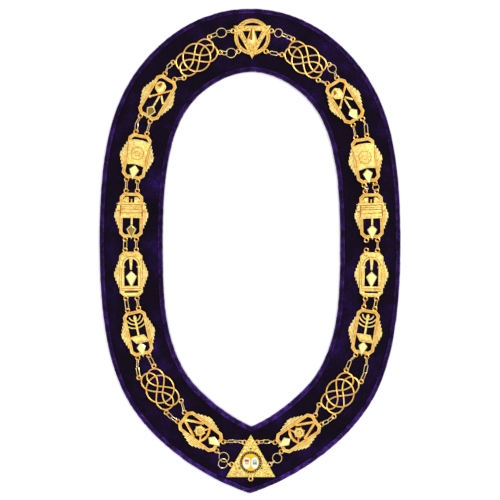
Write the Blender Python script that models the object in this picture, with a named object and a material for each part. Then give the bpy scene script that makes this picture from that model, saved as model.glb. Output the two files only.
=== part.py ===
"""Chain of office: a padded velvet collar with bound edges that carries eighteen cast and pierced gold
pieces, joined two by two by short runs of chain, with a three-cornered plate at the front.

The collar lies flat. Metres, +Z up, +Y towards the back of the neck, and the origin is under the middle of
the collar's outline.
"""

import math

import bmesh
import bpy
from mathutils import Vector, geometry

# Collar
COLLAR_LENGTH = 0.5832
COLLAR_WIDTH = 0.3625
OPENING_LENGTH = 0.4256
OPENING_WIDTH = 0.2126
OPENING_SHIFT = 0.0018
BAND_AT_BACK = 0.0766

# Pad, across its section
PAD_THICKNESS = 0.0050
PAD_SEAM_HEIGHT = 0.0031
PAD_EDGE_HEIGHT = 0.0020
PAD_EDGE_INSET = 0.0017
PAD_FOOT_INSET = 0.0033
PAD_SWELL = 0.0150

# Edge binding, a folded velvet strip
BINDING_WIDTH = 0.0060
BINDING_HEIGHT = 0.0040
BINDING_WALL = 0.0005
BINDING_LIP = 0.0024
BINDING_ROUND = 0.0012
SEWN_GAP = 0.0003

# Castings
SEAT_GAP = 0.0003
BODY_THICKNESS = 0.0029
EMBLEM_TOP = 0.0035
KITE_SHOULDER = 0.0030
KITE_TOP = 0.0042
EYE_RADIUS = 0.0033
EYE_HOLE = 0.00175
EYE_THICKNESS = 0.0010
EYE_SIDES = 6
HOLE_SIDES = 5

# Plaque frame
PLAQUE_WIDTH = 0.0278
PLAQUE_LENGTH = 0.0534
PLAQUE_BAR = 0.0040
PLAQUE_CORNER = 0.0048
WING_LENGTH = 0.0290
WING_REACH = 0.0064
PLAQUE_EYE_ACROSS = 0.0067
PLAQUE_EYE_STAND = 0.0025
KITE_WIDTH = 0.0122
KITE_RISE = 0.0056
KITE_DROP = 0.0124

# Knot
KNOT_WIDTH = 0.0336
KNOT_LENGTH = 0.0508
KNOT_STRAND = 0.0024
KNOT_EYE_ACROSS = 0.0113
KNOT_EYE_STAND = 0.0012

# Back medallion
CREST_RADIUS = 0.0218
CREST_RING = 0.0050
CREST_RING_SIDES = 16
CREST_WIDTH = 0.0452
CREST_RISE = 0.0133
CREST_DROP = 0.0272
CREST_BAR = 0.0072
CREST_FROM_BACK = 0.0350
CREST_SHIFT = 0.0026
CREST_EYE_STAND = 0.0023

# Front plate with its enamel disc
PLATE_WIDTH = 0.0592
PLATE_LENGTH = 0.0512
PLATE_RISE = 0.0315
PLATE_SHIFT = 0.0009
DISC_RADIUS = 0.0104
DISC_THICKNESS = 0.0013
DISC_SIDES = 20
DISC_DROP = 0.0332
BEZEL_RADIUS = 0.0131
BEZEL_TOP = 0.0040
PLATE_EYE_STAND = 0.0019

# Chain
WIRE = 0.0010
LINK_WIDTH = 0.0032
OVAL_WIDTH = 0.0046
LINK_SIDES = 10
WIRE_SIDES = 5
LINK_BITE = 0.0007
LINK_SHORTEST = 0.0034
LINK_IN_EYE = 0.0002
ROD = 0.0026
ROD_POINTS = 4
ROD_ROUNDING = 1

# Mesh of the castings and the collar
SMOOTH_ANGLE = 35.0
FLAT_ANGLE = 0.05
WELD = 0.000001
SIDE_NAMES = {-1: "left", 1: "right"}

# Outlines, from the back of the neck to the front, down one half. Columns: out (share of the half width),
# down (share of the length), lean (degrees below level) and the two handles (shares of the length).
OUTER_OUTLINE = (
    (0.000, 0.000, 0.0, 0.000, 0.073),
    (0.603, 0.076, 43.0, 0.069, 0.125),
    (1.000, 0.478, 90.0, 0.211, 0.133),
    (0.789, 0.820, 122.5, 0.101, 0.088),
    (0.000, 1.000, 162.5, 0.108, 0.000),
)
OPENING_OUTLINE = (
    (0.000, 0.000, 0.0, 0.000, 0.064),
    (0.680, 0.090, 51.0, 0.062, 0.100),
    (1.000, 0.475, 90.0, 0.177, 0.168),
    (0.737, 0.851, 121.5, 0.118, 0.051),
    (0.000, 1.000, 157.5, 0.079, 0.000),
)
STATIONS = (5, 5, 5, 4)

# Where each casting lies. Columns: piece, then for the left and for the right side the share of the way from
# back to front, how far out of the band's middle (share of the band) and the lean of its axis (degrees).
PLACES = (
    ("upper_knot", (0.1085, -0.011, 35.0), (0.1119, -0.034, 35.0)),
    ("tools_plaque", (0.2151, -0.007, 59.7), (0.2219, -0.018, 58.0)),
    ("keystone_plaque", (0.3327, -0.003, 79.0), (0.3398, 0.001, 80.0)),
    ("chest_plaque", (0.4430, 0.003, 89.0), (0.4442, 0.022, 88.5)),
    ("arch_plaque", (0.5534, 0.002, 91.0), (0.5543, 0.018, 91.0)),
    ("candlestick_plaque", (0.6646, -0.014, 102.2), (0.6618, 0.014, 99.5)),
    ("lower_knot", (0.7790, -0.033, 128.0), (0.7871, -0.009, 128.0)),
    ("triangle_plaque", (0.8909, -0.019, 143.0), (0.8966, -0.019, 146.0)),
)

FINE = "fine"

# Chain runs, each from the piece nearer the back to the next one. Columns: the two pieces, the lane, and for
# the left and the right side the links in order and the run's sideways bow (share of its span). The right
# run between chest and arch on the opening's side is missing. A run marked fine, of the smallest links, is one
# smooth rod.
RUNS = (
    ("back_medallion", "upper_knot", "outer", (FINE, 0.06), (FINE, 0.04)),
    ("back_medallion", "upper_knot", "inner", (FINE, 0.10), (FINE, 0.02)),
    ("upper_knot", "tools_plaque", "outer", ("oval link", 0.12), ("oval link", 0.08)),
    ("upper_knot", "tools_plaque", "inner", ("link", 0.0), ("link", 0.0)),
    ("tools_plaque", "keystone_plaque", "outer", ("link oval", 0.10), ("oval link", 0.12)),
    ("tools_plaque", "keystone_plaque", "inner", ("link", 0.0), ("link", 0.0)),
    ("keystone_plaque", "chest_plaque", "outer", ("link", 0.0), ("oval", 0.0)),
    ("keystone_plaque", "chest_plaque", "inner", ("link", 0.0), ("link link", 0.10)),
    ("chest_plaque", "arch_plaque", "outer", ("oval", 0.0), ("link", 0.0)),
    ("chest_plaque", "arch_plaque", "inner", ("link", 0.0), None),
    ("arch_plaque", "candlestick_plaque", "outer", ("oval", 0.0), ("oval", 0.0)),
    ("arch_plaque", "candlestick_plaque", "inner", ("link", 0.0), ("link", 0.0)),
    ("candlestick_plaque", "lower_knot", "outer", (FINE, 0.06), (FINE, 0.08)),
    ("candlestick_plaque", "lower_knot", "inner", ("oval", 0.0), ("link oval", 0.10)),
    ("lower_knot", "triangle_plaque", "outer", ("oval oval", 0.05), ("oval oval", 0.05)),
    ("lower_knot", "triangle_plaque", "inner", ("link", 0.0), ("link", 0.0)),
    ("triangle_plaque", "front_plate", "outer", (FINE, 0.28), (FINE, 0.15)),
    ("triangle_plaque", "front_plate", "inner", (FINE, 0.04), (FINE, 0.04)),
)

# Kinds of link. Columns: width, roll out of upright (degrees) and share of the run's length.
LINK_KINDS = {
    "link": (LINK_WIDTH, 30.0, 1.00),
    "oval": (OVAL_WIDTH, 48.0, 1.15),
}

# Emblems, in shares of half the frame's opening, across and along.
WING_STEPS = ((1.00, 0.33), (0.72, 0.69), (0.26, 1.00))
SHOVEL_BLADE = ((-1.12, 0.66), (-0.25, 0.88), (0.27, 0.69), (0.36, 0.42), (-0.15, 0.18), (-1.05, 0.42))
KEYSTONE = ((-1.33, 0.82), (-0.66, 0.89), (0.66, 0.89), (1.33, 0.82), (1.00, -0.48), (-1.00, -0.48))
CHEST = ((-1.28, 0.66), (1.28, 0.66), (1.28, -0.14), (-1.28, -0.14))
CHEST_POLE = ((-1.78, 0.60), (1.78, 0.60), (1.78, 0.48), (-1.78, 0.48))
CHEST_FIGURE = ((-1.00, 0.60), (-0.98, 0.84), (-0.70, 0.97), (-0.30, 0.94), (-0.30, 0.60))
ARCH_OPENING = (
    (-0.86, -0.62),
    (-0.86, 0.52),
    (-0.56, 0.76),
    (0.00, 0.86),
    (0.56, 0.76),
    (0.86, 0.52),
    (0.86, -0.62),
)
ARCH_SLOT = ((-0.78, -0.94), (-0.78, -0.99), (0.84, -0.99), (0.84, -0.94))
ARCH_FIELD = (
    (-1.20, 0.80),
    (-0.80, 1.08),
    (0.80, 1.08),
    (1.20, 0.80),
    (1.20, -0.85),
    (0.90, -1.08),
    (-0.90, -1.08),
    (-1.20, -0.85),
)
BOOK = ((-1.10, -0.18), (-0.85, -0.13), (0.66, -0.13), (1.08, -0.46), (1.08, -0.54), (-0.45, -0.54))
BRANCH_RISE = 0.95
BRANCH_RADII = (0.69, 1.11, 1.56)
BRANCH_STEPS = 2
BAR_WIDTH = 0.0024
TRIANGLE_BAR = 0.0034
BURST_RADIUS = 0.0084
BURST_RISE = 0.0008
BURST_SIDES = 8

# Crest emblem, in shares of the medallion's radius from its centre.
CREST_BLADE = ((-0.09, 0.42), (0.09, 0.42), (0.26, -0.20), (0.0, -0.44), (-0.26, -0.20))
CREST_OPENING = ((0.15, 0.000), (0.53, 0.000), (0.28, -0.376))
CREST_EYE_ANGLES = (17.0, -46.5)

# Places of the front plate's eyes along its slanting edges, from the point (shares).
PLATE_EYES = {"inner": 0.204, "outer": 0.720}

# Knot strand, one of a mirrored pair. Columns: across and along, in shares of the knot's half sizes.
KNOT_STRANDS = {
    "waist": ((0.298, 0.0), (0.0, 0.189)),
    "rise": ((0.0, 0.189), (0.301, 0.612)),
    "tip": ((0.301, 0.612), (0.24, 0.80), (0.0, 0.957)),
    "lobe": ((0.0, 0.957), (0.44, 0.985), (0.80, 0.80), (0.798, 0.388)),
    "leg": ((0.798, 0.388), (0.298, 0.0)),
}
KNOT_RING_ACROSS = 1.0
KNOT_RING_ALONG = 0.642
KNOT_RING_MEETS_TIP = 17.5
KNOT_RING_MEETS_LEG = 52.8


def clear_scene():
    """Start from an empty file."""
    for item in list(bpy.data.objects):
        bpy.data.objects.remove(item)


def make_collection(name, hidden):
    """Collection in the scene, left out of renders where it holds helpers."""
    collection = bpy.data.collections.new(name)
    bpy.context.scene.collection.children.link(collection)
    collection.hide_render = hidden
    return collection


def make_material(name, colour, roughness, metallic):
    """Plain surface in the piece's own colour."""
    material = bpy.data.materials.new(name)
    material.use_nodes = True
    shader = material.node_tree.nodes["Principled BSDF"]
    shader.inputs["Base Color"].default_value = (*colour, 1.0)
    shader.inputs["Roughness"].default_value = roughness
    shader.inputs["Metallic"].default_value = metallic
    return material


def add_piece(name, mesh, material, location=(0.0, 0.0, 0.0), turn=0.0):
    """Put a mesh into the chain as a named piece."""
    piece = bpy.data.objects.new(name, mesh)
    piece.location = location
    piece.rotation_euler = (0.0, 0.0, turn)
    mesh.materials.clear()
    mesh.materials.append(material)
    chain.objects.link(piece)
    return piece


def half_outline(knots, half_width, length, top):
    """Points down one half of an outline, from the back of the neck to the front."""
    points = []
    for first, last, steps in zip(knots, knots[1:], STATIONS):
        ends = []
        handles = []
        for (out, down, lean, before, after), reach in ((first, 1), (last, -1)):
            end = Vector((out * half_width, top - down * length))
            way = Vector((math.cos(math.radians(lean)), -math.sin(math.radians(lean))))
            ends.append(end)
            handles.append(end + way * reach * length * (after if reach == 1 else before))
        points += geometry.interpolate_bezier(ends[0], handles[0], handles[1], ends[1], steps + 1)[:-1]
    points.append(ends[1])
    return points


def whole_outline(half, shift):
    """Closed loop from one half and its mirror image."""
    left = [Vector((-point.x, point.y)) for point in reversed(half[1:-1])]
    return [point + Vector((shift, 0.0)) for point in half + left]


def set_in(loop, distance):
    """Loop moved to its right-hand side by a distance, with mitred corners."""
    moved = []
    for index, point in enumerate(loop):
        before = (point - loop[index - 1]).normalized()
        after = (loop[(index + 1) % len(loop)] - point).normalized()
        side = Vector((before.y, -before.x)) + Vector((after.y, -after.x))
        moved.append(point + side * distance * 2.0 / side.length_squared)
    return moved


def ring_mesh(name, rings):
    """Closed tube around the collar, lofted through loops that have as many stations each."""
    shape = bmesh.new()
    rows = [[shape.verts.new((point.x, point.y, height)) for point in loop] for loop, height in rings]
    for row, following in zip(rows, rows[1:] + rows[:1]):
        for index in range(len(row)):
            beside = (index + 1) % len(row)
            shape.faces.new((row[index], row[beside], following[beside], following[index]))
    bmesh.ops.recalc_face_normals(shape, faces=shape.faces)
    return finished_mesh(name, shape)


def finished_mesh(name, shape):
    """Turn an edited shape into mesh data with smooth rounds and sharp corners."""
    mesh = bpy.data.meshes.new(name)
    shape.to_mesh(mesh)
    shape.free()
    mesh.shade_smooth()
    mesh.set_sharp_from_angle(angle=math.radians(SMOOTH_ANGLE))
    return mesh


def make_pad():
    """Padded body of the collar, thick in the middle and drawn down to a thin edge all round."""
    profile = (
        (PAD_FOOT_INSET, 0.0),
        (PAD_EDGE_INSET, PAD_EDGE_HEIGHT),
        (BINDING_WIDTH + SEWN_GAP, PAD_SEAM_HEIGHT),
        (PAD_SWELL, PAD_THICKNESS),
    )
    rings = [(set_in(outer_edge, inset), height) for inset, height in profile]
    rings += [(set_in(opening_edge, -inset), height) for inset, height in reversed(profile)]
    add_piece("velvet_pad", ring_mesh("velvet_pad", rings), velvet)


def make_binding(name, loop, side):
    """Velvet strip folded round one edge of the pad, with a short lip underneath."""
    profile = (
        (BINDING_LIP, 0.0),
        (BINDING_ROUND, 0.0),
        (0.0, PAD_EDGE_HEIGHT),
        (BINDING_ROUND, BINDING_HEIGHT),
        (BINDING_WIDTH, BINDING_HEIGHT),
        (BINDING_WIDTH, BINDING_HEIGHT - BINDING_WALL),
        (PAD_EDGE_INSET - BINDING_WALL, PAD_EDGE_HEIGHT),
    )
    rings = [(set_in(loop, inset * side), height) for inset, height in profile]
    add_piece(name, ring_mesh(name, rings), binding_velvet)


def plate(loops, low, high):
    """Flat piece cut from an outline and its holes, between two heights."""
    outline = bpy.data.curves.new("outline", "CURVE")
    outline.dimensions = "2D"
    outline.fill_mode = "BOTH"
    outline.extrude = (high - low) / 2.0
    for loop in loops:
        spline = outline.splines.new("POLY")
        spline.points.add(len(loop) - 1)
        for point, (x, y) in zip(spline.points, loop):
            point.co = (x, y, 0.0, 1.0)
        spline.use_cyclic_u = True
    flat = bpy.data.objects.new("plate", outline)
    flat.location.z = (high + low) / 2.0
    return solid_from(flat)


def solid_from(source):
    """Welded mesh helper with the shape and place of a helper object, which is removed."""
    helpers.objects.link(source)
    bpy.context.view_layer.update()
    graph = bpy.context.evaluated_depsgraph_get()
    mesh = bpy.data.meshes.new_from_object(source.evaluated_get(graph))
    mesh.transform(source.matrix_world)
    bpy.data.objects.remove(source)
    shape = bmesh.new()
    shape.from_mesh(mesh)
    bmesh.ops.remove_doubles(shape, verts=shape.verts, dist=WELD)
    bmesh.ops.recalc_face_normals(shape, faces=shape.faces)
    shape.to_mesh(mesh)
    shape.free()
    solid = bpy.data.objects.new("solid", mesh)
    helpers.objects.link(solid)
    return solid


def fuse(name, solids):
    """One body from solids that overlap, as if cast or soldered in one piece."""
    base = solids[0]
    for other in solids[1:]:
        join = base.modifiers.new("join", "BOOLEAN")
        join.operation = "UNION"
        join.solver = "EXACT"
        join.object = other
    bpy.context.view_layer.update()
    graph = bpy.context.evaluated_depsgraph_get()
    mesh = bpy.data.meshes.new_from_object(base.evaluated_get(graph))
    for solid in solids:
        bpy.data.objects.remove(solid)
    shape = bmesh.new()
    shape.from_mesh(mesh)
    bmesh.ops.remove_doubles(shape, verts=shape.verts, dist=WELD)
    bmesh.ops.dissolve_limit(shape, angle_limit=math.radians(FLAT_ANGLE), verts=shape.verts, edges=shape.edges)
    bmesh.ops.triangulate(shape, faces=shape.faces)
    return finished_mesh(name, shape)


def circle(x, y, radius, sides):
    """Round outline with one corner pointing along +Y."""
    turns = [math.tau * step / sides + math.pi / 2.0 for step in range(sides)]
    return [(x + radius * math.cos(turn), y + radius * math.sin(turn)) for turn in turns]


def eye(x, y):
    """Small cast ring at the edge of a piece, for a chain."""
    rim = circle(x, y, EYE_RADIUS, EYE_SIDES)
    hole = circle(x, y, EYE_HOLE, HOLE_SIDES)
    return plate((rim, hole), BODY_THICKNESS - EYE_THICKNESS, BODY_THICKNESS)


def field(points):
    """Emblem points, given in shares of half the frame's opening, as lengths."""
    half_across = PLAQUE_WIDTH / 2.0 - PLAQUE_BAR
    half_along = PLAQUE_LENGTH / 2.0 - PLAQUE_BAR
    return [(across * half_across, along * half_along) for across, along in points]


def bar(start, end, width):
    """Outline of a straight bar between two emblem points."""
    first, last = [Vector(point) for point in field((start, end))]
    side = (last - first).orthogonal().normalized() * width / 2.0
    return [first + side, first - side, last - side, last + side]


def mirrored(loop):
    """The same outline on the other side of the piece's axis."""
    return [(-x, y) for x, y in reversed(loop)]


def level_with_frame(loops):
    """Openwork of an emblem, as thick as the frame."""
    return plate(loops, 0.0, BODY_THICKNESS)


def raised(loops):
    """Cast relief that stands above the frame."""
    return plate(loops, 0.0, EMBLEM_TOP)


def kite(along):
    """Polished four-sided point whose widest place is at a share of the frame's half opening."""
    level = field(((0.0, along),))[0][1]
    half = KITE_WIDTH / 2.0
    corners = ((0.0, level - KITE_DROP), (half, level), (0.0, level + KITE_RISE), (-half, level))
    shape = bmesh.new()
    peak = shape.verts.new((0.0, level, KITE_TOP))
    low = [shape.verts.new((x, y, 0.0)) for x, y in corners]
    high = [shape.verts.new((x, y, KITE_SHOULDER)) for x, y in corners]
    shape.faces.new(low)
    for index in range(len(corners)):
        beside = (index + 1) % len(corners)
        shape.faces.new((low[index], low[beside], high[beside], high[index]))
        shape.faces.new((high[index], high[beside], peak))
    bmesh.ops.recalc_face_normals(shape, faces=shape.faces)
    solid = bpy.data.objects.new("kite", finished_mesh("kite", shape))
    helpers.objects.link(solid)
    return solid


def plaque_frame():
    """Eight-cornered frame with a stepped wing on each side and an eye at each end of both rails."""
    half_across = PLAQUE_WIDTH / 2.0
    half_along = PLAQUE_LENGTH / 2.0
    right = [(half_across - PLAQUE_CORNER, half_along), (half_across, half_along - PLAQUE_CORNER)]
    reach = 0.0
    for along, out in WING_STEPS:
        level = along * WING_LENGTH / 2.0
        right.append((half_across + reach, level))
        reach = out * WING_REACH
        right.append((half_across + reach, level))
    right += [(x, -y) for x, y in reversed(right)]
    outside = right + [(-x, y) for x, y in reversed(right)]
    across = half_across - PLAQUE_BAR
    along = half_along - PLAQUE_BAR
    cut = PLAQUE_CORNER - PLAQUE_BAR * math.tan(math.pi / 8.0)
    quarter = [(across - cut, along), (across, along - cut)]
    side = quarter + [(x, -y) for x, y in reversed(quarter)]
    inside = side + [(-x, y) for x, y in reversed(side)]
    return plate((outside, inside), 0.0, BODY_THICKNESS)


def plaque_eyes():
    """Eye centres of a plaque, by side and end."""
    stand = PLAQUE_LENGTH / 2.0 + PLAQUE_EYE_STAND
    return {(side, end): (side * PLAQUE_EYE_ACROSS, end * stand) for side in (-1, 1) for end in (-1, 1)}


def knot_eyes():
    """Eye centres of a knot, by side and end."""
    stand = KNOT_LENGTH / 2.0 + KNOT_EYE_STAND
    return {(side, end): (side * KNOT_EYE_ACROSS, end * stand) for side in (-1, 1) for end in (-1, 1)}


def tools_emblem():
    """Shovel, crowbar and pick leg crossing over a short shaft."""
    return [
        raised((field(SHOVEL_BLADE),)),
        level_with_frame((bar((-1.04, -0.20), (1.08, 0.69), BAR_WIDTH),)),
        level_with_frame((bar((0.15, 0.26), (1.06, -0.20), BAR_WIDTH),)),
        level_with_frame((bar((0.10, 0.20), (0.04, -0.60), BAR_WIDTH),)),
        kite(-0.70),
    ]


def keystone_emblem():
    """Plain wedge-shaped block with a curved top."""
    return [raised((field(KEYSTONE),)), kite(-0.69)]


def chest_emblem():
    """Chest with carrying poles and two folded-wing figures on its lid."""
    return [
        raised((field(CHEST),)),
        raised((field(CHEST_POLE),)),
        raised((field(CHEST_FIGURE),)),
        raised((mirrored(field(CHEST_FIGURE)),)),
        level_with_frame((bar((0.0, 0.60), (0.0, 0.84), BAR_WIDTH),)),
        level_with_frame((bar((0.0, -0.10), (0.0, -0.60), BAR_WIDTH),)),
        kite(-0.72),
    ]


def arch_emblem():
    """Round arch on two columns with a stem hanging from its crown."""
    field_plate = level_with_frame((field(ARCH_FIELD), field(ARCH_OPENING), field(ARCH_SLOT)))
    return [field_plate, level_with_frame((bar((0.0, 0.90), (0.0, 0.05), BAR_WIDTH),)), kite(-0.13)]


def branch(radius):
    """Upward-curving arm of the candlestick, cut off at the frame."""
    half_across = PLAQUE_WIDTH / 2.0 - PLAQUE_BAR
    rise = field(((0.0, BRANCH_RISE),))[0][1]
    middle = radius * half_across
    widest = math.asin(min(1.0, (half_across + PLAQUE_BAR / 2.0) / middle))
    steps = range(-BRANCH_STEPS, BRANCH_STEPS + 1)
    turns = [widest * step / BRANCH_STEPS for step in steps]
    reach = middle - BAR_WIDTH / 2.0
    inner = [(reach * math.sin(turn), rise - reach * math.cos(turn)) for turn in turns]
    reach = middle + BAR_WIDTH / 2.0
    outer = [(reach * math.sin(turn), rise - reach * math.cos(turn)) for turn in turns]
    return level_with_frame((inner + outer[::-1],))


def candlestick_emblem():
    """Branched candlestick over an open book."""
    arms = [branch(radius) for radius in BRANCH_RADII]
    stem = level_with_frame((bar((0.0, 0.90), (0.0, -0.20), BAR_WIDTH),))
    return arms + [stem, raised((field(BOOK),)), kite(-0.74)]


def triangle_emblem():
    """Triangle on a sagging base bar with a round burst inside it."""
    return [
        level_with_frame((bar((0.0, 1.06), (-0.92, 0.10), TRIANGLE_BAR),)),
        level_with_frame((bar((0.0, 1.06), (0.92, 0.10), TRIANGLE_BAR),)),
        level_with_frame((bar((-1.10, -0.28), (0.05, -0.40), TRIANGLE_BAR),)),
        level_with_frame((bar((1.10, -0.28), (-0.05, -0.40), TRIANGLE_BAR),)),
        raised((circle(0.0, BURST_RISE, BURST_RADIUS, BURST_SIDES),)),
        kite(-0.74),
    ]


def knot_points(name, side=1, end=1):
    """Centre line of a stretch of strand, in one quarter of the knot."""
    half_across = KNOT_WIDTH / 2.0
    half_along = KNOT_LENGTH / 2.0
    points = KNOT_STRANDS[name]
    return [Vector((side * x * half_across, end * y * half_along)) for x, y in points]


def ring_points(start, finish, steps):
    """Centre line of the knot's oval between two angles from its long axis (degrees)."""
    across = KNOT_WIDTH / 2.0 * KNOT_RING_ACROSS
    along = KNOT_LENGTH / 2.0 * KNOT_RING_ALONG
    turns = [math.radians(start + (finish - start) * step / steps) for step in range(steps + 1)]
    return [Vector((across * math.sin(turn), along * math.cos(turn))) for turn in turns]


def joined(*stretches):
    """Closed loop from stretches that follow each other, each turned to start where the last one ended."""
    loop = list(stretches[0])
    for stretch in stretches[1:]:
        ahead = stretch if (stretch[0] - loop[-1]).length < (stretch[-1] - loop[-1]).length else stretch[::-1]
        loop += ahead[1:]
    return loop[:-1]


def around(loop):
    """The loop in clockwise order, seen from above."""
    area = sum(point.cross(loop[index - 1]) for index, point in enumerate(loop))
    return loop if area > 0.0 else loop[::-1]


def knot_mesh(name):
    """Three strands interlaced in one flat casting, pierced between them in fifteen places."""
    upper = (KNOT_RING_MEETS_TIP, KNOT_RING_MEETS_LEG)
    gaps = [joined(*[knot_points("waist", side, end) for side, end in ((1, 1), (-1, 1), (-1, -1), (1, -1))])]
    for end in (1, -1):
        tip = KNOT_RING_MEETS_TIP if end == 1 else 180.0 - KNOT_RING_MEETS_TIP
        cap = ring_points(-tip, tip, 2) if end == 1 else ring_points(tip, 360.0 - tip, 2)
        gaps.append(joined(knot_points("tip", 1, end), knot_points("tip", -1, end)[::-1], cap))
        gaps.append(joined(knot_points("rise", 1, end), cap[::-1], knot_points("rise", -1, end)[::-1]))
        for side in (1, -1):
            first, last = [side * (turn if end == 1 else 180.0 - turn) for turn in upper]
            shoulder = ring_points(first, last, 2)
            rise = knot_points("rise", side, end)
            leg = knot_points("leg", side, end)
            lobe = knot_points("lobe", side, end)
            gaps.append(joined(rise, shoulder, leg, knot_points("waist", side, end)))
            gaps.append(joined(knot_points("tip", side, end)[::-1], shoulder, lobe[::-1]))
    sides = []
    for side in (1, -1):
        meets = side * KNOT_RING_MEETS_LEG
        flank = ring_points(meets, side * 180.0 - meets, 3)
        gaps.append(joined(knot_points("leg", side, 1), knot_points("leg", side, -1)[::-1], flank))
        sides.append(flank)
    edge = joined(
        knot_points("lobe", 1, 1),
        sides[0],
        knot_points("lobe", 1, -1)[::-1],
        knot_points("lobe", -1, -1),
        sides[1],
        knot_points("lobe", -1, 1)[::-1],
    )
    loops = [set_in(around(edge), -KNOT_STRAND / 2.0)]
    loops += [set_in(around(gap), KNOT_STRAND / 2.0) for gap in gaps]
    net = plate(loops, 0.0, BODY_THICKNESS)
    return fuse(name, [net] + [eye(x, y) for x, y in knot_eyes().values()])


def crest_eyes():
    """Eye centres of the back medallion, by side and end."""
    reach = CREST_RADIUS + CREST_EYE_STAND
    eyes = {}
    for end, angle in zip((1, -1), CREST_EYE_ANGLES):
        turn = math.radians(angle)
        for side in (-1, 1):
            eyes[(side, end)] = (side * reach * math.cos(turn), reach * math.sin(turn))
    return eyes


def crest_mesh(name):
    """Ring crossed by a triangle that points to the front, with a tapered blade over its middle."""
    rim = circle(0.0, 0.0, CREST_RADIUS, CREST_RING_SIDES)
    hole = circle(0.0, 0.0, CREST_RADIUS - CREST_RING, CREST_RING_SIDES)
    corners = [Vector(corner) for corner in crest_corners()]
    level = CREST_RISE - CREST_BAR
    right = [(x * CREST_RADIUS, level + y * CREST_RADIUS) for x, y in CREST_OPENING]
    openings = [right, mirrored(right)]
    blade = [(x * CREST_RADIUS, y * CREST_RADIUS) for x, y in CREST_BLADE]
    solids = [plate((rim, hole), 0.0, BODY_THICKNESS), level_with_frame([corners] + openings), raised((blade,))]
    solids += [eye(x, y) for x, y in crest_eyes().values()]
    return fuse(name, solids)


def crest_corners():
    """Corners of the medallion's triangle."""
    return ((-CREST_WIDTH / 2.0, CREST_RISE), (CREST_WIDTH / 2.0, CREST_RISE), (0.0, -CREST_DROP))


def plate_eyes():
    """Eye centres beside the front plate's slanting edges, by side and lane, and under its base."""
    edge = Vector((PLATE_WIDTH / 2.0, -PLATE_LENGTH))
    out = Vector((PLATE_LENGTH, PLATE_WIDTH / 2.0)).normalized() * PLATE_EYE_STAND
    eyes = {}
    for lane, share in PLATE_EYES.items():
        spot = edge * share + out
        for side in (-1, 1):
            eyes[(side, lane)] = (side * spot.x, spot.y)
    return eyes


def front_plate_mesh(name):
    """Three-cornered plate with a round bezel and small rings at its edges."""
    corners = ((0.0, 0.0), (PLATE_WIDTH / 2.0, -PLATE_LENGTH), (-PLATE_WIDTH / 2.0, -PLATE_LENGTH))
    rim = circle(0.0, -DISC_DROP, BEZEL_RADIUS, DISC_SIDES)
    seat = circle(0.0, -DISC_DROP, DISC_RADIUS + SEAT_GAP, DISC_SIDES)
    solids = [plate((corners,), 0.0, BODY_THICKNESS), plate((rim, seat), 0.0, BEZEL_TOP)]
    solids += [eye(x, y) for x, y in plate_eyes().values()]
    solids.append(eye(0.0, -PLATE_LENGTH - PLATE_EYE_STAND))
    return fuse(name, solids)


def make_disc():
    """Round enamel disc that sits inside the bezel of the front plate."""
    height = PAD_THICKNESS + SEAT_GAP + BODY_THICKNESS + SEAT_GAP
    disc = plate((circle(0.0, 0.0, DISC_RADIUS, DISC_SIDES),), 0.0, DISC_THICKNESS)
    mesh = fuse("enamel_disc", [disc])
    add_piece("enamel_disc", mesh, enamel, (PLATE_SHIFT, plate_tip - DISC_DROP, height))


def plaque_mesh(name, emblem):
    """One plaque: frame, wings, eyes and its emblem in one casting."""
    solids = [plaque_frame()] + emblem()
    solids += [eye(x, y) for x, y in plaque_eyes().values()]
    return fuse(name, solids)


def band_middle(side):
    """Points down the middle of the band on one side, from back to front."""
    count = len(outer_edge)
    half = count // 2
    order = [step if side == 1 else -step % count for step in range(half + 1)]
    return [(outer_edge[index] + opening_edge[index]) / 2.0 for index in order]


def on_band(side, share, out):
    """Place on the band, by share of the way to the front and share of the band out of its middle."""
    middle = band_middle(side)
    spans = [(after - before).length for before, after in zip(middle, middle[1:])]
    left = share * sum(spans)
    index = 0
    while left > spans[index]:
        left -= spans[index]
        index += 1
    way = (middle[index + 1] - middle[index]).normalized()
    outward = Vector((-way.y, way.x)) * side
    return middle[index] + way * left + outward * out * BAND_AT_BACK


def make_castings():
    """Cast pieces on both sides, and the world places of all their eyes."""
    level = PAD_THICKNESS + SEAT_GAP
    eyes = {}
    for piece, left, right in PLACES:
        mesh = meshes[piece]
        local_eyes = knot_eyes() if piece.endswith("knot") else plaque_eyes()
        for side, (share, out, lean) in ((-1, left), (1, right)):
            spot = on_band(side, share, out)
            turn = side * math.radians(90.0 - lean)
            name = f"{SIDE_NAMES[side]}_{piece}"
            add_piece(name, mesh.copy(), cast_gold, (spot.x, spot.y, level), turn)
            for (across, end), (x, y) in local_eyes.items():
                lane = "outer" if across == side else "inner"
                x_world = spot.x + x * math.cos(turn) - y * math.sin(turn)
                y_world = spot.y + x * math.sin(turn) + y * math.cos(turn)
                eyes[(side, piece, lane, end)] = Vector((x_world, y_world))
    add_piece("back_medallion", meshes["back_medallion"], cast_gold, (CREST_SHIFT, crest_centre, level))
    for (side, end), (x, y) in crest_eyes().items():
        lane = "outer" if end == 1 else "inner"
        eyes[(side, "back_medallion", lane, -1)] = Vector((x + CREST_SHIFT, y + crest_centre))
    add_piece("front_plate", meshes["front_plate"], cast_gold, (PLATE_SHIFT, plate_tip, level))
    for (side, lane), (x, y) in plate_eyes().items():
        eyes[(side, "front_plate", lane, 1)] = Vector((x + PLATE_SHIFT, y + plate_tip))
    return eyes


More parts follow.
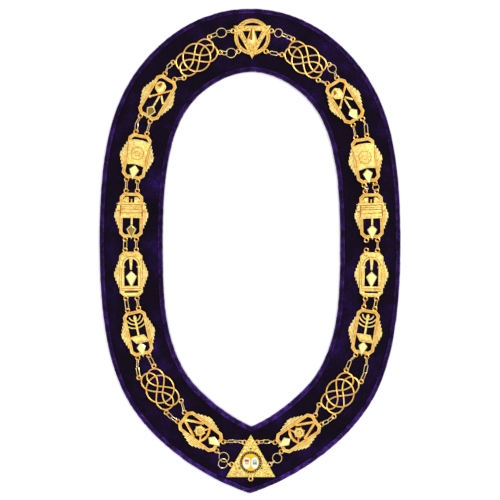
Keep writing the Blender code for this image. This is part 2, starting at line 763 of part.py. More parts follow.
def link_solid(start, end, kind, lean):
    """One wire link between two points of a run, as a ring drawn out into a long loop."""
    width, roll, _ = LINK_KINDS[kind]
    span = end - start
    loop_radius = min(width, span.length) / 2.0
    bpy.ops.mesh.primitive_torus_add(
        major_segments=LINK_SIDES,
        minor_segments=WIRE_SIDES,
        major_radius=loop_radius,
        minor_radius=WIRE / 2.0,
    )
    ring = bpy.context.object
    stretch = max(0.0, span.length / 2.0 - loop_radius)
    for vertex in ring.data.vertices:
        vertex.co.x += math.copysign(stretch, vertex.co.x)
    ring.rotation_euler = (math.radians(90.0 + roll * lean), 0.0, math.atan2(span.y, span.x))
    ring.location = (start + end) / 2.0
    for collection in list(ring.users_collection):
        collection.objects.unlink(ring)
    return solid_from(ring)


def bowed(share):
    """Height of a shallow bow at a share of its span, with one at the middle."""
    return 4.0 * share * (1.0 - share)


def run_points(first, last, kinds, bow):
    """Where each link of a run begins and ends, along a shallow bow between two eyes."""
    way = (last - first).normalized()
    side = way.orthogonal()
    first = first + way * LINK_IN_EYE
    last = last - way * LINK_IN_EYE
    shares = [LINK_KINDS[kind][2] for kind in kinds]
    total = sum(shares)
    turns = [sum(shares[:count]) / total for count in range(len(shares) + 1)]
    span = (last - first).length
    joints = [first + way * span * turn + side * bow * span * bowed(turn) for turn in turns]
    ends = []
    for index, (start, end) in enumerate(zip(joints, joints[1:])):
        along = (end - start).normalized() * LINK_BITE / 2.0
        ends.append((start - along if index else start, end + along if index < len(kinds) - 1 else end))
    return ends


def links_mesh(name, first, last, kinds, bow):
    """Links of a run, as many of its list as fit, in one body where they pass through each other."""
    offset = Vector((first.x, first.y, 0.0))
    solids = []
    kinds = kinds[: max(1, int((last - first).length / LINK_SHORTEST))]
    for index, ((start, end), kind) in enumerate(zip(run_points(first, last, kinds, bow), kinds)):
        lean = -1 if index % 2 else 1
        solids.append(link_solid(start.to_3d() - offset, end.to_3d() - offset, kind, lean))
    return fuse(name, solids)


def rod_mesh(name, first, last, bow):
    """Smooth rod along the shallow bow of a run, ending just short of both eyes."""
    way = (last - first).normalized()
    side = way.orthogonal()
    stand = EYE_RADIUS + SEAT_GAP + ROD / 2.0
    span = (last - first).length - 2.0 * stand
    route = bpy.data.curves.new("route", "CURVE")
    route.dimensions = "3D"
    route.bevel_depth = ROD / 2.0
    route.bevel_resolution = ROD_ROUNDING
    route.use_fill_caps = True
    spline = route.splines.new("POLY")
    spline.points.add(ROD_POINTS - 1)
    for index, point in enumerate(spline.points):
        turn = index / (ROD_POINTS - 1)
        spot = way * (stand + span * turn) + side * bow * span * bowed(turn)
        point.co = (spot.x, spot.y, 0.0, 1.0)
    return fuse(name, [solid_from(bpy.data.objects.new("rod", route))])


def make_run(side, number, upper, lower, lane, links, bow):
    """One run of chain between an eye of the upper piece and an eye of the lower one."""
    name = f"{SIDE_NAMES[side]}_{lane}_chain_{number}"
    first = eyes[(side, upper, lane, -1)]
    last = eyes[(side, lower, lane, 1)]
    outward = side if lane == "outer" else -side
    height = PAD_THICKNESS + SEAT_GAP
    if links == FINE:
        mesh = rod_mesh(name, first, last, bow * outward)
        height += ROD / 2.0
    else:
        mesh = links_mesh(name, first, last, links.split(), bow * outward)
        height += BODY_THICKNESS - EYE_THICKNESS / 2.0
    add_piece(name, mesh, chain_gold, (first.x, first.y, height))


clear_scene()
chain = make_collection("chain_of_office", False)
helpers = make_collection("helpers", True)
velvet = make_material("velvet", (0.012, 0.006, 0.022), 0.9, 0.0)
binding_velvet = make_material("binding_velvet", (0.045, 0.014, 0.10), 0.85, 0.0)
cast_gold = make_material("cast_gold", (0.86, 0.55, 0.17), 0.3, 1.0)
chain_gold = make_material("chain_gold", (0.88, 0.60, 0.22), 0.25, 1.0)
enamel = make_material("enamel", (0.85, 0.60, 0.05), 0.15, 0.0)

back = COLLAR_LENGTH / 2.0
outer_edge = whole_outline(half_outline(OUTER_OUTLINE, COLLAR_WIDTH / 2.0, COLLAR_LENGTH, back), 0.0)
opening_half = half_outline(OPENING_OUTLINE, OPENING_WIDTH / 2.0, OPENING_LENGTH, back - BAND_AT_BACK)
opening_edge = whole_outline(opening_half, OPENING_SHIFT)
crest_centre = back - CREST_FROM_BACK
plate_tip = back - (COLLAR_LENGTH + BAND_AT_BACK + OPENING_LENGTH) / 2.0 + PLATE_RISE

make_pad()
make_binding("outer_binding", outer_edge, 1)
make_binding("opening_binding", opening_edge, -1)

meshes = {
    "upper_knot": knot_mesh("upper_knot"),
    "tools_plaque": plaque_mesh("tools_plaque", tools_emblem),
    "keystone_plaque": plaque_mesh("keystone_plaque", keystone_emblem),
    "chest_plaque": plaque_mesh("chest_plaque", chest_emblem),
    "arch_plaque": plaque_mesh("arch_plaque", arch_emblem),
    "candlestick_plaque": plaque_mesh("candlestick_plaque", candlestick_emblem),
    "triangle_plaque": plaque_mesh("triangle_plaque", triangle_emblem),
    "back_medallion": crest_mesh("back_medallion"),
    "front_plate": front_plate_mesh("front_plate"),
}
meshes["lower_knot"] = meshes["upper_knot"].copy()
eyes = make_castings()
make_disc()

for row, (upper, lower, lane, left_run, right_run) in enumerate(RUNS):
    for side, run in ((-1, left_run), (1, right_run)):
        if run:
            make_run(side, row // 2 + 1, upper, lower, lane, *run)
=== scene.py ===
"""Looks of a chain of office: velvet collar, gilt castings, chain and enamel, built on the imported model."""

import math

import bpy
from mathutils import Matrix, Vector, geometry, noise


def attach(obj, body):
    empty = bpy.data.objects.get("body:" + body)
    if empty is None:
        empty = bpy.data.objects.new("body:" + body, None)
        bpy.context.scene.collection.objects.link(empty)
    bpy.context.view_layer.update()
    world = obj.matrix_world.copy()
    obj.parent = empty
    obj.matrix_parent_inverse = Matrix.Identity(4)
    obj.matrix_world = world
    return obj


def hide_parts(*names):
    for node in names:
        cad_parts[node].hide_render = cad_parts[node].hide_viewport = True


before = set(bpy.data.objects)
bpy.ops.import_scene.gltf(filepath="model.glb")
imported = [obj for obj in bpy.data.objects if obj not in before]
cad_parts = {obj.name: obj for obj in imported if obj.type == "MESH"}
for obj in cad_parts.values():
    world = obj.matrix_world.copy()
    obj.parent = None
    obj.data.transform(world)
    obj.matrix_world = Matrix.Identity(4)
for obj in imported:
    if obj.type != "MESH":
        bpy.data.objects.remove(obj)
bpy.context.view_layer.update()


# Velvet pad. A flat band of cotton velvet over wadding, with the pile brushed towards the front. The wadding
# is thickest in the middle of the band and is drawn down thin where the edge strips are sewn round it.
MM = 0.001
COLLAR = {"length": 583.2, "half_width": 181.25, "top": 291.6, "shift": 0.0}
OPENING = {"length": 425.6, "half_width": 106.3, "top": 215.0, "shift": 1.8}
# Columns: out (share of half the width), down (share of the length), lean (degrees), handles (shares).
COLLAR_CURVE = (
    (0.000, 0.000, 0.0, 0.000, 0.073),
    (0.603, 0.076, 43.0, 0.069, 0.125),
    (1.000, 0.478, 90.0, 0.211, 0.133),
    (0.789, 0.820, 122.5, 0.101, 0.088),
    (0.000, 1.000, 162.5, 0.108, 0.000),
)
OPENING_CURVE = (
    (0.000, 0.000, 0.0, 0.000, 0.064),
    (0.680, 0.090, 51.0, 0.062, 0.100),
    (1.000, 0.475, 90.0, 0.177, 0.168),
    (0.737, 0.851, 121.5, 0.118, 0.051),
    (0.000, 1.000, 157.5, 0.079, 0.000),
)
STATIONS = 60
# Columns: distance in from the edge and height of the padding (millimetres).
PAD_RISE = (
    (1.7, 2.0),
    (3.2, 2.3),
    (6.3, 3.1),
    (9.5, 4.2),
    (12.5, 4.8),
    (16.0, 5.0),
    (24.0, 4.95),
    (38.0, 5.0),
)
# How far in from the edge the padding starts on top and underneath, and the height that it never swells past.
PAD_INSET = 1.7
PAD_FOOT = 3.3
PAD_TOP = 5.22
# Hollows in the filling: how deep they are and how far they spread.
HOLLOW_DEPTH = 0.16
HOLLOW_SPREAD = 26.0
# Below this height the velvet is sewn down or lies on the table, so the filling doesn't swell it.
SEWN_HEIGHT = 3.2
FILLING_PRESSURE = 4.0
SWELLING_FRAMES = 20
MOST_SWELL = 0.3
# Points of a mesh that lie closer together than this are one point.
WELD = 0.002


def linear(code):
    """Colour from its sRGB hex code, as the shader takes it."""
    parts = [int(code[place : place + 2], 16) / 255.0 for place in (1, 3, 5)]
    return [part / 12.92 if part <= 0.04045 else ((part + 0.055) / 1.055) ** 2.4 for part in parts] + [1.0]


def join(material, node, links):
    """Feeds a node's sockets from the outputs of others."""
    for name, source in links.items():
        material.node_tree.links.new(source, node.inputs[name])


def add_node(material, kind, settings=None, links=None, stops=()):
    """Adds one node to a material, with its settings, what feeds its sockets and a colour ramp's stops."""
    node = material.node_tree.nodes.new(kind)
    for name, value in (settings or {}).items():
        if name in node.inputs:
            node.inputs[name].default_value = value
        else:
            setattr(node, name, value)
    join(material, node, links or {})
    for index, (place, code) in enumerate(stops):
        marks = node.color_ramp.elements
        mark = marks[index] if index < len(marks) else marks.new(place)
        mark.position = place
        mark.color = linear(code)
    return node


def new_material(name, settings):
    """A material with its one surface shader and that shader's plain values."""
    material = bpy.data.materials.new(name)
    material.use_nodes = True
    shader = material.node_tree.nodes["Principled BSDF"]
    for socket, value in settings.items():
        shader.inputs[socket].default_value = value
    return material, shader


def collar_loop(curve, part):
    """Stations round one edge of the collar, in millimetres, down the right side first."""
    half = []
    for first, last in zip(curve, curve[1:]):
        ends = []
        for (out, down, lean, before, after), ahead in ((first, 1), (last, -1)):
            spot = Vector((out * part["half_width"], part["top"] - down * part["length"]))
            way = Vector((math.cos(math.radians(lean)), -math.sin(math.radians(lean))))
            reach = part["length"] * (after if ahead == 1 else -before)
            ends += [spot, spot + way * reach]
        half += geometry.interpolate_bezier(ends[0], ends[1], ends[3], ends[2], STATIONS + 1)[:-1]
    half.append(ends[2])
    loop = half + [Vector((-spot.x, spot.y)) for spot in reversed(half[1:-1])]
    return [spot + Vector((part["shift"], 0.0)) for spot in loop]


def read_between(table, place):
    """Value of a two-column table at a place between its rows."""
    if place <= table[0][0]:
        return table[0][1]
    for (low, first), (high, last) in zip(table, table[1:]):
        if place <= high:
            share = (place - low) / (high - low)
            return first + (last - first) * share
    return table[-1][1]


def weld_active():
    """Welds the seams of the active body and turns its faces outwards."""
    bpy.ops.object.mode_set(mode="EDIT")
    bpy.ops.mesh.select_all(action="SELECT")
    bpy.ops.mesh.remove_doubles(threshold=WELD * MM)
    bpy.ops.mesh.normals_make_consistent(inside=False)
    bpy.ops.object.mode_set(mode="OBJECT")


def uneven(spot, span, layer=0.0):
    """Smooth random value, from about -1 to 1, that changes over a span."""
    return noise.noise(Vector((spot.x / span, spot.y / span, layer)))


def wrapped(name, around, across, spot, marks=None):
    """A grid rolled up both ways into a closed ring-shaped body, its rows marked if the finish needs it."""
    bpy.ops.mesh.primitive_grid_add(x_subdivisions=around, y_subdivisions=across, size=1.0)
    body = bpy.context.object
    body.name = name
    if marks:
        rows = body.data.attributes.new("row_mark", "FLOAT", "POINT")
    for vertex in body.data.vertices:
        station = round((vertex.co.x + 0.5) * around) % around
        row = round((vertex.co.y + 0.5) * across) % across
        vertex.co = spot(station, row)
        if marks:
            rows.data[vertex.index].value = marks[row]
    weld_active()
    bpy.ops.object.shade_smooth()
    return body


outer_loop = collar_loop(COLLAR_CURVE, COLLAR)
opening_loop = collar_loop(OPENING_CURVE, OPENING)
PAD_ROWS = 30
PAD_UNDER = 4


def pad_spot(station, row):
    """Place on the pad: rows run over the top from the outer edge to the opening, then back underneath."""
    outer, inner = outer_loop[station], opening_loop[station]
    width = (inner - outer).length
    top_rows = PAD_ROWS - PAD_UNDER
    if row <= top_rows:
        share = row / top_rows
        inset = PAD_INSET + (width - 2.0 * PAD_INSET) * share
        height = read_between(PAD_RISE, min(inset, width - inset))
        spot = outer.lerp(inner, inset / width)
        height += (uneven(spot, HOLLOW_SPREAD) - 0.5) * HOLLOW_DEPTH
    else:
        share = (row - top_rows - 1) / (PAD_UNDER - 2)
        inset = width - PAD_FOOT - (width - 2.0 * PAD_FOOT) * share
        height = 0.0
        spot = outer.lerp(inner, inset / width)
    return (spot.x * MM, spot.y * MM, height * MM)


pad = wrapped("velvet_band", len(outer_loop), PAD_ROWS, pad_spot)

# The filling swells the top of the band, which stays sewn down along both edges and flat underneath.
sewn = pad.vertex_groups.new(name="sewn_down")
sewn.add([vertex.index for vertex in pad.data.vertices if vertex.co.z < SEWN_HEIGHT * MM], 1.0, "REPLACE")
filling = pad.modifiers.new("filling", "CLOTH")
filling.settings.vertex_group_mass = "sewn_down"
filling.settings.use_pressure = True
filling.settings.uniform_pressure_force = FILLING_PRESSURE
filling.settings.effector_weights.gravity = 0.0
filling.settings.quality = 4
for frame_number in range(1, SWELLING_FRAMES + 1):
    bpy.context.scene.frame_set(frame_number)
swollen = pad.evaluated_get(bpy.context.evaluated_depsgraph_get())
spots = [vertex.co.copy() for vertex in swollen.data.vertices]
pad.modifiers.remove(filling)
for vertex, spot in zip(pad.data.vertices, spots):
    if vertex.co.z >= SEWN_HEIGHT * MM:
        swell = max(-MOST_SWELL * MM, min(MOST_SWELL * MM, spot.z - vertex.co.z))
        vertex.co.z = min(vertex.co.z + swell, PAD_TOP * MM)
bpy.context.scene.frame_set(1)
finer = pad.modifiers.new("finer", "SUBSURF")
finer.levels = 1
finer.render_levels = 1

# Cotton velvet: an upright pile that drinks the light seen from above and glows along its edges. Lighter
# purple streaks are painted into its colour as painted sheen, standing in for pile that lies the other way
# and catches the light. The pile is drawn as grains of about 1.5 mm, coarser than the real 0.3 mm, so that it
# shows.
velvet, velvet_shader = new_material(
    "cotton_velvet",
    {
        "Roughness": 0.95,
        "Specular IOR Level": 0.08,
        "Sheen Weight": 0.10,
        "Sheen Roughness": 0.35,
        "Sheen Tint": linear("#7038D0"),
    },
)
place = add_node(velvet, "ShaderNodeTexCoord").outputs["Object"]
grain = {"Scale": 620.0, "Detail": 4.0, "Roughness": 0.7}
pile = add_node(velvet, "ShaderNodeTexNoise", grain, {"Vector": place}).outputs["Fac"]
nap_sheen_settings = {"Scale": 22.0, "Detail": 5.0, "Roughness": 0.62}
nap_sheen_noise = add_node(velvet, "ShaderNodeTexNoise", nap_sheen_settings, {"Vector": place}).outputs["Fac"]
# Painted sheen: the streaks are painted lighter purple.
tones = ((0.30, "#120818"), (0.50, "#170B22"), (0.60, "#210E3A"), (0.72, "#34146C"))
painted_nap_sheen = add_node(velvet, "ShaderNodeValToRGB", links={"Fac": nap_sheen_noise}, stops=tones)
tips = ((0.34, "#6A6A6A"), (0.66, "#FFFFFF"))
grains = add_node(velvet, "ShaderNodeValToRGB", links={"Fac": pile}, stops=tips)
darkened = {"data_type": "RGBA", "blend_type": "MULTIPLY", "Factor": 1.0}
tints = {"A": painted_nap_sheen.outputs["Color"], "B": grains.outputs["Color"]}
coat = add_node(velvet, "ShaderNodeMix", darkened, tints)
nap = add_node(velvet, "ShaderNodeBump", {"Strength": 0.35, "Distance": 0.0006}, {"Height": pile})
join(velvet, velvet_shader, {"Base Color": coat.outputs["Result"], "Normal": nap.outputs["Normal"]})
pad.data.materials.append(velvet)
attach(pad, "root")
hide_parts("velvet_pad")


# Edge strips. Each edge of the pad is bound with a bias strip of the same velvet, folded over it and sewn
# down flat. Where the pile lies over on the fold and by the seam it catches the light; that brighter purple
# is a painted highlight in the strip's colour.
# Columns, round the strip's section: distance in from the edge, height (millimetres) and how far across the
# strip that lies, from the fold (0) to the seam (1).
STRIP_SECTION = (
    (2.40, 0.00, 0.10),
    (1.20, 0.00, 0.05),
    (0.35, 0.60, 0.00),
    (0.00, 2.00, 0.00),
    (0.35, 3.30, 0.08),
    (1.20, 4.00, 0.22),
    (2.60, 4.20, 0.44),
    (4.20, 4.15, 0.68),
    (5.40, 3.95, 0.86),
    (6.00, 3.60, 0.96),
    (5.95, 3.40, 0.96),
    (4.00, 3.30, 0.70),
    (1.40, 2.00, 0.30),
    (1.50, 0.80, 0.20),
)
# How far the strip waves, how far its cut pile frays (share of the wave) and how high it puckers, and over
# what length each of them changes.
STRIP_WAVE = 0.5
STRIP_FUZZ = 1.2
STRIP_PUCKER = 0.22
WAVE_SPAN = 17.0
RAGGED_SPAN = 9.0
PUCKER_SPAN = 4.5
FUZZ_SPAN = 2.3
STRIP_LIFT = 0.04
# The part of the strip that puckers: between these distances in from the edge, above this height.
PUCKERED = (1.0, 5.7)
PUCKERED_ABOVE = 3.0


def moved_in(loop, station, distance):
    """Station of a loop moved square to it by a distance, to the right of its direction."""
    before = (loop[station] - loop[station - 1]).normalized()
    after = (loop[(station + 1) % len(loop)] - loop[station]).normalized()
    side = Vector((before.y, -before.x)) + Vector((after.y, -after.x))
    return loop[station] + side * distance * 2.0 / side.length_squared


def edge_strip(name, loop, inward):
    """Velvet strip folded round one edge of the collar, a little wavy along its sewn side."""
    insets, _, marks = zip(*STRIP_SECTION)

    def strip_spot(station, row):
        inset, height, _ = STRIP_SECTION[row]
        here = loop[station]
        wave = uneven(here, WAVE_SPAN, 3.0)
        ragged = abs(uneven(here, RAGGED_SPAN, 1.0)) + abs(uneven(here, FUZZ_SPAN, 5.0)) * STRIP_FUZZ
        inset += STRIP_WAVE * (wave * inset / max(insets) + ragged)
        height *= 1.0 + STRIP_LIFT * wave
        if PUCKERED[0] < inset < PUCKERED[1] and height > PUCKERED_ABOVE:
            height += STRIP_PUCKER * uneven(here, PUCKER_SPAN, 9.0)
        spot = moved_in(loop, station, inset * inward)
        return (spot.x * MM, spot.y * MM, height * MM)

    strip = wrapped(name, len(loop), len(STRIP_SECTION), strip_spot, marks)
    finer = strip.modifiers.new("finer", "SUBSURF")
    finer.levels = 1
    finer.render_levels = 1
    return strip


strips = (
    (edge_strip("outer_edge_strip", outer_loop, 1), "outer_binding"),
    (edge_strip("opening_edge_strip", opening_loop, -1), "opening_binding"),
)
strip_velvet, strip_shader = new_material(
    "folded_velvet_strip",
    {
        "Roughness": 0.9,
        "Specular IOR Level": 0.1,
        "Sheen Weight": 0.22,
        "Sheen Roughness": 0.4,
        "Sheen Tint": linear("#7038E0"),
    },
)
place = add_node(strip_velvet, "ShaderNodeTexCoord").outputs["Object"]
pile = add_node(strip_velvet, "ShaderNodeTexNoise", {"Scale": 480.0, "Detail": 4.0}, {"Vector": place})
across = add_node(strip_velvet, "ShaderNodeAttribute", {"attribute_name": "row_mark"})
# Painted highlights: brighter purple along the fold and just inside the seam, darker purple between and
# beyond.
fold_seam_highlight_tones = (
    (0.00, "#3C1C6C"),
    (0.10, "#542E98"),
    (0.26, "#3A1A62"),
    (0.42, "#2C1248"),
    (0.68, "#321650"),
    (0.80, "#462476"),
    (0.93, "#281042"),
)
painted_fold_highlights = add_node(strip_velvet, "ShaderNodeValToRGB", links={"Fac": across.outputs["Fac"]}, stops=fold_seam_highlight_tones)
# Painted sheen: patches of about 9 mm are painted lighter and darker, for pile that lies different ways in
# the light.
sheen_patch_settings = {"Scale": 110.0, "Detail": 8.0, "Roughness": 0.75}
sheen_patches = add_node(strip_velvet, "ShaderNodeTexNoise", sheen_patch_settings, {"Vector": place}).outputs["Fac"]
patch_sheen_tones = ((0.36, "#484848"), (0.50, "#A2A2A2"), (0.62, "#FFFFFF"))
painted_patch_sheen = add_node(strip_velvet, "ShaderNodeValToRGB", links={"Fac": sheen_patches}, stops=patch_sheen_tones)
tints = {"A": painted_fold_highlights.outputs["Color"], "B": painted_patch_sheen.outputs["Color"]}
shade = add_node(strip_velvet, "ShaderNodeMix", darkened, tints)
# Painted sheen: towards the front the strip is painted lighter, where its pile leans into the light, most on
# the light patches.
front_sheen_tones = ((0.40, "#060210"), (0.52, "#180A38"), (0.64, "#3C2278"))
painted_front_sheen = add_node(strip_velvet, "ShaderNodeValToRGB", links={"Fac": sheen_patches}, stops=front_sheen_tones)
along = add_node(strip_velvet, "ShaderNodeSeparateXYZ", links={"Vector": place}).outputs["Y"]
reach = {"From Min": -0.12, "From Max": -0.25, "To Min": 0.0, "To Max": 1.0}
front_sheen_share = add_node(strip_velvet, "ShaderNodeMapRange", reach, {"Value": along}).outputs["Result"]
lit = add_node(
    strip_velvet,
    "ShaderNodeMix",
    {"data_type": "RGBA", "blend_type": "ADD"},
    {"A": shade.outputs["Result"], "B": painted_front_sheen.outputs["Color"], "Factor": front_sheen_share},
)
rough_nap = {"Strength": 0.4, "Distance": 0.0006}
nap = add_node(strip_velvet, "ShaderNodeBump", rough_nap, {"Height": pile.outputs["Fac"]})
join(strip_velvet, strip_shader, {"Base Color": lit.outputs["Result"], "Normal": nap.outputs["Normal"]})
for strip, node_name in strips:
    strip.data.materials.append(strip_velvet)
    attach(strip, "root")
    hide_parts(node_name)


# Gilt metal. The castings are white metal or brass, plated with yellow gold: polished on the frames and the
# drop-shaped points, and frosted everywhere else unless a shape is given another finish.
def gilt(name, colour, rough, grain, depth, speck=0.0):
    """Gold plate of one finish: two tones over a few millimetres, a grain (per metre) and its dark specks."""
    material, shader = new_material(name, {"Metallic": 1.0, "Roughness": rough})
    place = add_node(material, "ShaderNodeTexCoord").outputs["Object"]
    drift = {"Scale": 140.0, "Detail": 3.0}
    cloud = add_node(material, "ShaderNodeTexNoise", drift, {"Vector": place}).outputs["Fac"]
    tones = ((0.32, colour[0]), (0.68, colour[1]))
    tone = add_node(material, "ShaderNodeValToRGB", links={"Fac": cloud}, stops=tones)
    skin_grain = {"Scale": grain, "Detail": 3.0, "Roughness": 0.6}
    skin = add_node(material, "ShaderNodeTexNoise", skin_grain, {"Vector": place}).outputs["Fac"]
    specks = ((0.34, "#A8742E"), (0.50, "#F2DCA6"), (0.62, "#FFFFFF"))
    pits = add_node(material, "ShaderNodeValToRGB", links={"Fac": skin}, stops=specks)
    wear = {"data_type": "RGBA", "blend_type": "MULTIPLY", "Factor": speck}
    worn = add_node(material, "ShaderNodeMix", wear, {"A": tone.outputs["Color"], "B": pits.outputs["Color"]})
    bump = add_node(material, "ShaderNodeBump", {"Strength": 0.6, "Distance": depth}, {"Height": skin})
    spread = {"To Min": rough * 0.8, "To Max": rough * 1.3}
    gloss = add_node(material, "ShaderNodeMapRange", spread, {"Value": cloud})
    join(material, shader, {"Base Color": worn.outputs["Result"], "Roughness": gloss.outputs["Result"]})
    join(material, shader, {"Normal": bump.outputs["Normal"]})
    return material


# The grain is drawn at 1.5 to 3 mm, coarser than the real 0.3 mm, so that it shows on the whole collar.
# Hollows, grooves, lines and gaps between parts take a dark red-brown copy of the gold: painted shade, where
# the polished plate would take less of the pale room.
polished_gold = gilt("polished_gold_plate", ("#D08E38", "#F0BE66"), 0.22, 600.0, 0.0004, 0.2)
# Painted highlight: a pale copy of the gold for the raised rims along the frames' edges.
rim_highlight_gold = gilt("painted_highlight_gold_rim", ("#F2D27A", "#FAE698"), 0.26, 500.0, 0.0005, 0.15)
frosted_gold = gilt("frosted_gold_plate", ("#E8CA70", "#F3E292"), 0.34, 420.0, 0.0016, 0.45)
wing_gold = gilt("frosted_gold_wing", ("#EFD67E", "#F8E9A0"), 0.34, 420.0, 0.0014, 0.35)
mirror_gold = gilt("mirror_gold_plate", ("#F4DE8A", "#F8E99E"), 0.16, 300.0, 0.0001, 0.0)
# Painted shade: the dark copy of the gold laid in hollows, grooves and gaps.
shade_painted_gold = gilt("painted_shade_gold_plate", ("#8E4C1C", "#B26A2C"), 0.32, 600.0, 0.0004, 0.2)
# Painted reflection: a dark copy of the mirror gold for the left plaques' points, which reflect little light.
dark_reflection_gold = gilt("painted_dark_reflection_gold", ("#80642E", "#A08240"), 0.14, 300.0, 0.0003, 0.3)


# Plaques. Each is one pierced casting: an eight-cornered frame with a stepped and ribbed wing on each side,
# an eye at each corner, an emblem across the opening and a drop-shaped point that hangs over the lower rail.
def flipped(loop):
    """The same outline on the other side of the axis."""
    return [(-x, y) for x, y in reversed(loop)]


def both_halves(right):
    """Outline from its right half, listed from the top down."""
    return list(right) + flipped(right)


def eight_corners(on_end, on_side):
    """Outline of a frame from its corner on the end rail and its corner on the side rail."""
    return both_halves([on_end, on_side, (on_side[0], -on_side[1]), (on_end[0], -on_end[1])])


FRAME_OUTSIDE = eight_corners((9.1, 26.7), (13.9, 21.9))
FRAME_INSIDE = eight_corners((7.2, 23.1), (10.2, 20.1))
# Inner line of the raised rim round the frame's outer edge, and outer line of the one round its opening.
RIM_OUTSIDE = eight_corners((8.75, 25.9), (13.1, 21.55))
RIM_INSIDE = eight_corners((7.5, 23.8), (10.9, 20.4))
# Ribs of a wing, from the frame outwards. Columns: distance from the axis, half the length and height.
WING_RIBS = (
    (14.9, 15.6, 2.5),
    (16.5, 11.7, 2.8),
    (18.1, 7.6, 2.5),
    (19.5, 3.4, 2.7),
)
RIB_WIDTH = 1.25
# The step under a wing reaches this far to each side of its ribs and stops short of their ends.
WING_STEP = (0.8, 0.6)
WING_SHORT = 0.2
PLAQUE_EYES = ((-6.7, 29.2), (6.7, 29.2), (-6.7, -29.2), (6.7, -29.2))
EYE_HEIGHT = 2.4
EYE_RADIUS = 2.4
EYE_WIRE = 1.6
CASTING_DEPTH = 2.9
# Edges of a casting that turn by more than this stay sharp (degrees).
SHARP_EDGE = 38.0
# A drop-shaped point: its foot, the height of its side, then the width and rise of its sloping rim and of
# the lip inside it, and the rise of its peak.
POINT_FOOT = 0.6
POINT_SIDE = 2.7
POINT_RIM = (0.8, 0.55)
POINT_LIP = (0.5, -0.25)
POINT_PEAK = 0.4


def made_solid(shape, finish):
    """Turns the active curve into a welded mesh of one finish."""
    bpy.ops.object.convert(target="MESH")
    bpy.ops.object.transform_apply()
    weld_active()
    shape.data.materials.clear()
    shape.data.materials.append(finish)
    return shape


def cast_shape(loops, low, high, edge, finish=frosted_gold, rounds=1):
    """Flat cast shape from outlines in millimetres, with its holes and rounded edges, between two heights."""
    bpy.ops.object.add(type="CURVE")
    shape = bpy.context.object
    line = shape.data
    line.dimensions = "2D"
    line.fill_mode = "BOTH"
    line.bevel_depth = edge * MM
    line.bevel_resolution = rounds
    line.offset = -edge * MM
    line.extrude = ((high - low) / 2.0 - edge) * MM
    for loop in loops:
        spline = line.splines.new("POLY")
        spline.points.add(len(loop) - 1)
        for point, (x, y) in zip(spline.points, loop):
            point.co = (x * MM, y * MM, 0.0, 1.0)
        spline.use_cyclic_u = True
    shape.location.z = (low + high) / 2.0 * MM
    return made_solid(shape, finish)


def cast_bar(start, end, width, low, high, edge, finish=frosted_gold):
    """Straight bar between two points."""
    first, last = Vector(start), Vector(end)
    side = (last - first).orthogonal().normalized() * width / 2.0
    return cast_shape(((first + side, first - side, last - side, last + side),), low, high, edge, finish)


def twin_bars(start, end, *section):
    """The same bar on both sides of the axis; its section is width, bottom, top, edge and finish."""
    mirrored = (-start[0], start[1]), (-end[0], end[1])
    return [cast_bar(*mirrored, *section), cast_bar(start, end, *section)]


def on_circle(x, y, radius, turn):
    """Point of a circle at an angle (degrees, from the right, turning left)."""
    return (x + radius * math.cos(math.radians(turn)), y + radius * math.sin(math.radians(turn)))


def arc(x, y, radius, start, finish, steps):
    """Points along an arc between two angles."""
    return [on_circle(x, y, radius, start + (finish - start) * step / steps) for step in range(steps + 1)]


def ring(x, y, radius, count=32):
    """Round outline, or that many places round a circle."""
    return [on_circle(x, y, radius, 360.0 * step / count) for step in range(count)]


def wire_ring(x, y, height, radius, wire, finish=frosted_gold, around=24, across=8):
    """Round ring of wire that lies flat."""
    bpy.ops.mesh.primitive_torus_add(
        location=(x * MM, y * MM, height * MM),
        major_segments=around,
        minor_segments=across,
        major_radius=radius * MM,
        minor_radius=wire / 2.0 * MM,
    )
    torus = bpy.context.object
    bpy.ops.object.transform_apply()
    torus.data.materials.append(finish)
    return torus


def eyes(places, finish, height=EYE_HEIGHT):
    """Rings at a casting's corners that the chains hang in."""
    return [wire_ring(x, y, height, EYE_RADIUS, EYE_WIRE, finish) for x, y in places]


def bead(x, y, height, radius, finish=frosted_gold):
    """Small round grain of metal."""
    bpy.ops.mesh.primitive_uv_sphere_add(
        location=(x * MM, y * MM, height * MM), segments=10, ring_count=6, radius=radius * MM
    )
    grain = bpy.context.object
    bpy.ops.object.transform_apply()
    grain.data.materials.append(finish)
    return grain


def drop_point(x, level, half=6.1, rise=5.6, drop=12.4, facets=mirror_gold):
    """Drop-shaped point with a sloping rim and four facets, in their own finish, that meet in a low peak."""
    bpy.ops.mesh.primitive_circle_add(vertices=4, radius=1.0, fill_type="NGON")
    point = bpy.context.object
    for vertex in point.data.vertices:
        across, along = vertex.co.x, vertex.co.y
        vertex.co.x = (x + across * half) * MM
        vertex.co.y = (level + along * (rise if along > 0.0 else drop)) * MM
        vertex.co.z = POINT_FOOT * MM
    bpy.ops.object.mode_set(mode="EDIT")
    bpy.ops.mesh.select_all(action="SELECT")
    bpy.ops.mesh.extrude_region_move(TRANSFORM_OT_translate={"value": (0.0, 0.0, POINT_SIDE * MM)})
    for thickness, depth in (POINT_RIM, POINT_LIP):
        bpy.ops.mesh.inset(thickness=thickness * MM, depth=depth * MM)
    bpy.ops.mesh.poke(offset=POINT_PEAK * MM)
    bpy.ops.mesh.select_all(action="SELECT")
    bpy.ops.mesh.fill_holes(sides=0)
    bpy.ops.mesh.normals_make_consistent(inside=False)
    bpy.ops.object.mode_set(mode="OBJECT")
    point.data.materials.append(mirror_gold)
    point.data.materials.append(facets)
    for face in point.data.polygons:
        face.material_index = 1 if len(face.vertices) == 3 else 0
    return point


def soldered(name, shapes):
    """One casting from its shapes."""
    bpy.ops.object.select_all(action="DESELECT")
    for shape in shapes:
        shape.select_set(True)
    bpy.context.view_layer.objects.active = shapes[0]
    bpy.ops.object.join()
    casting = bpy.context.object
    casting.name = name
    bpy.ops.object.shade_smooth_by_angle(angle=math.radians(SHARP_EDGE))
    return casting


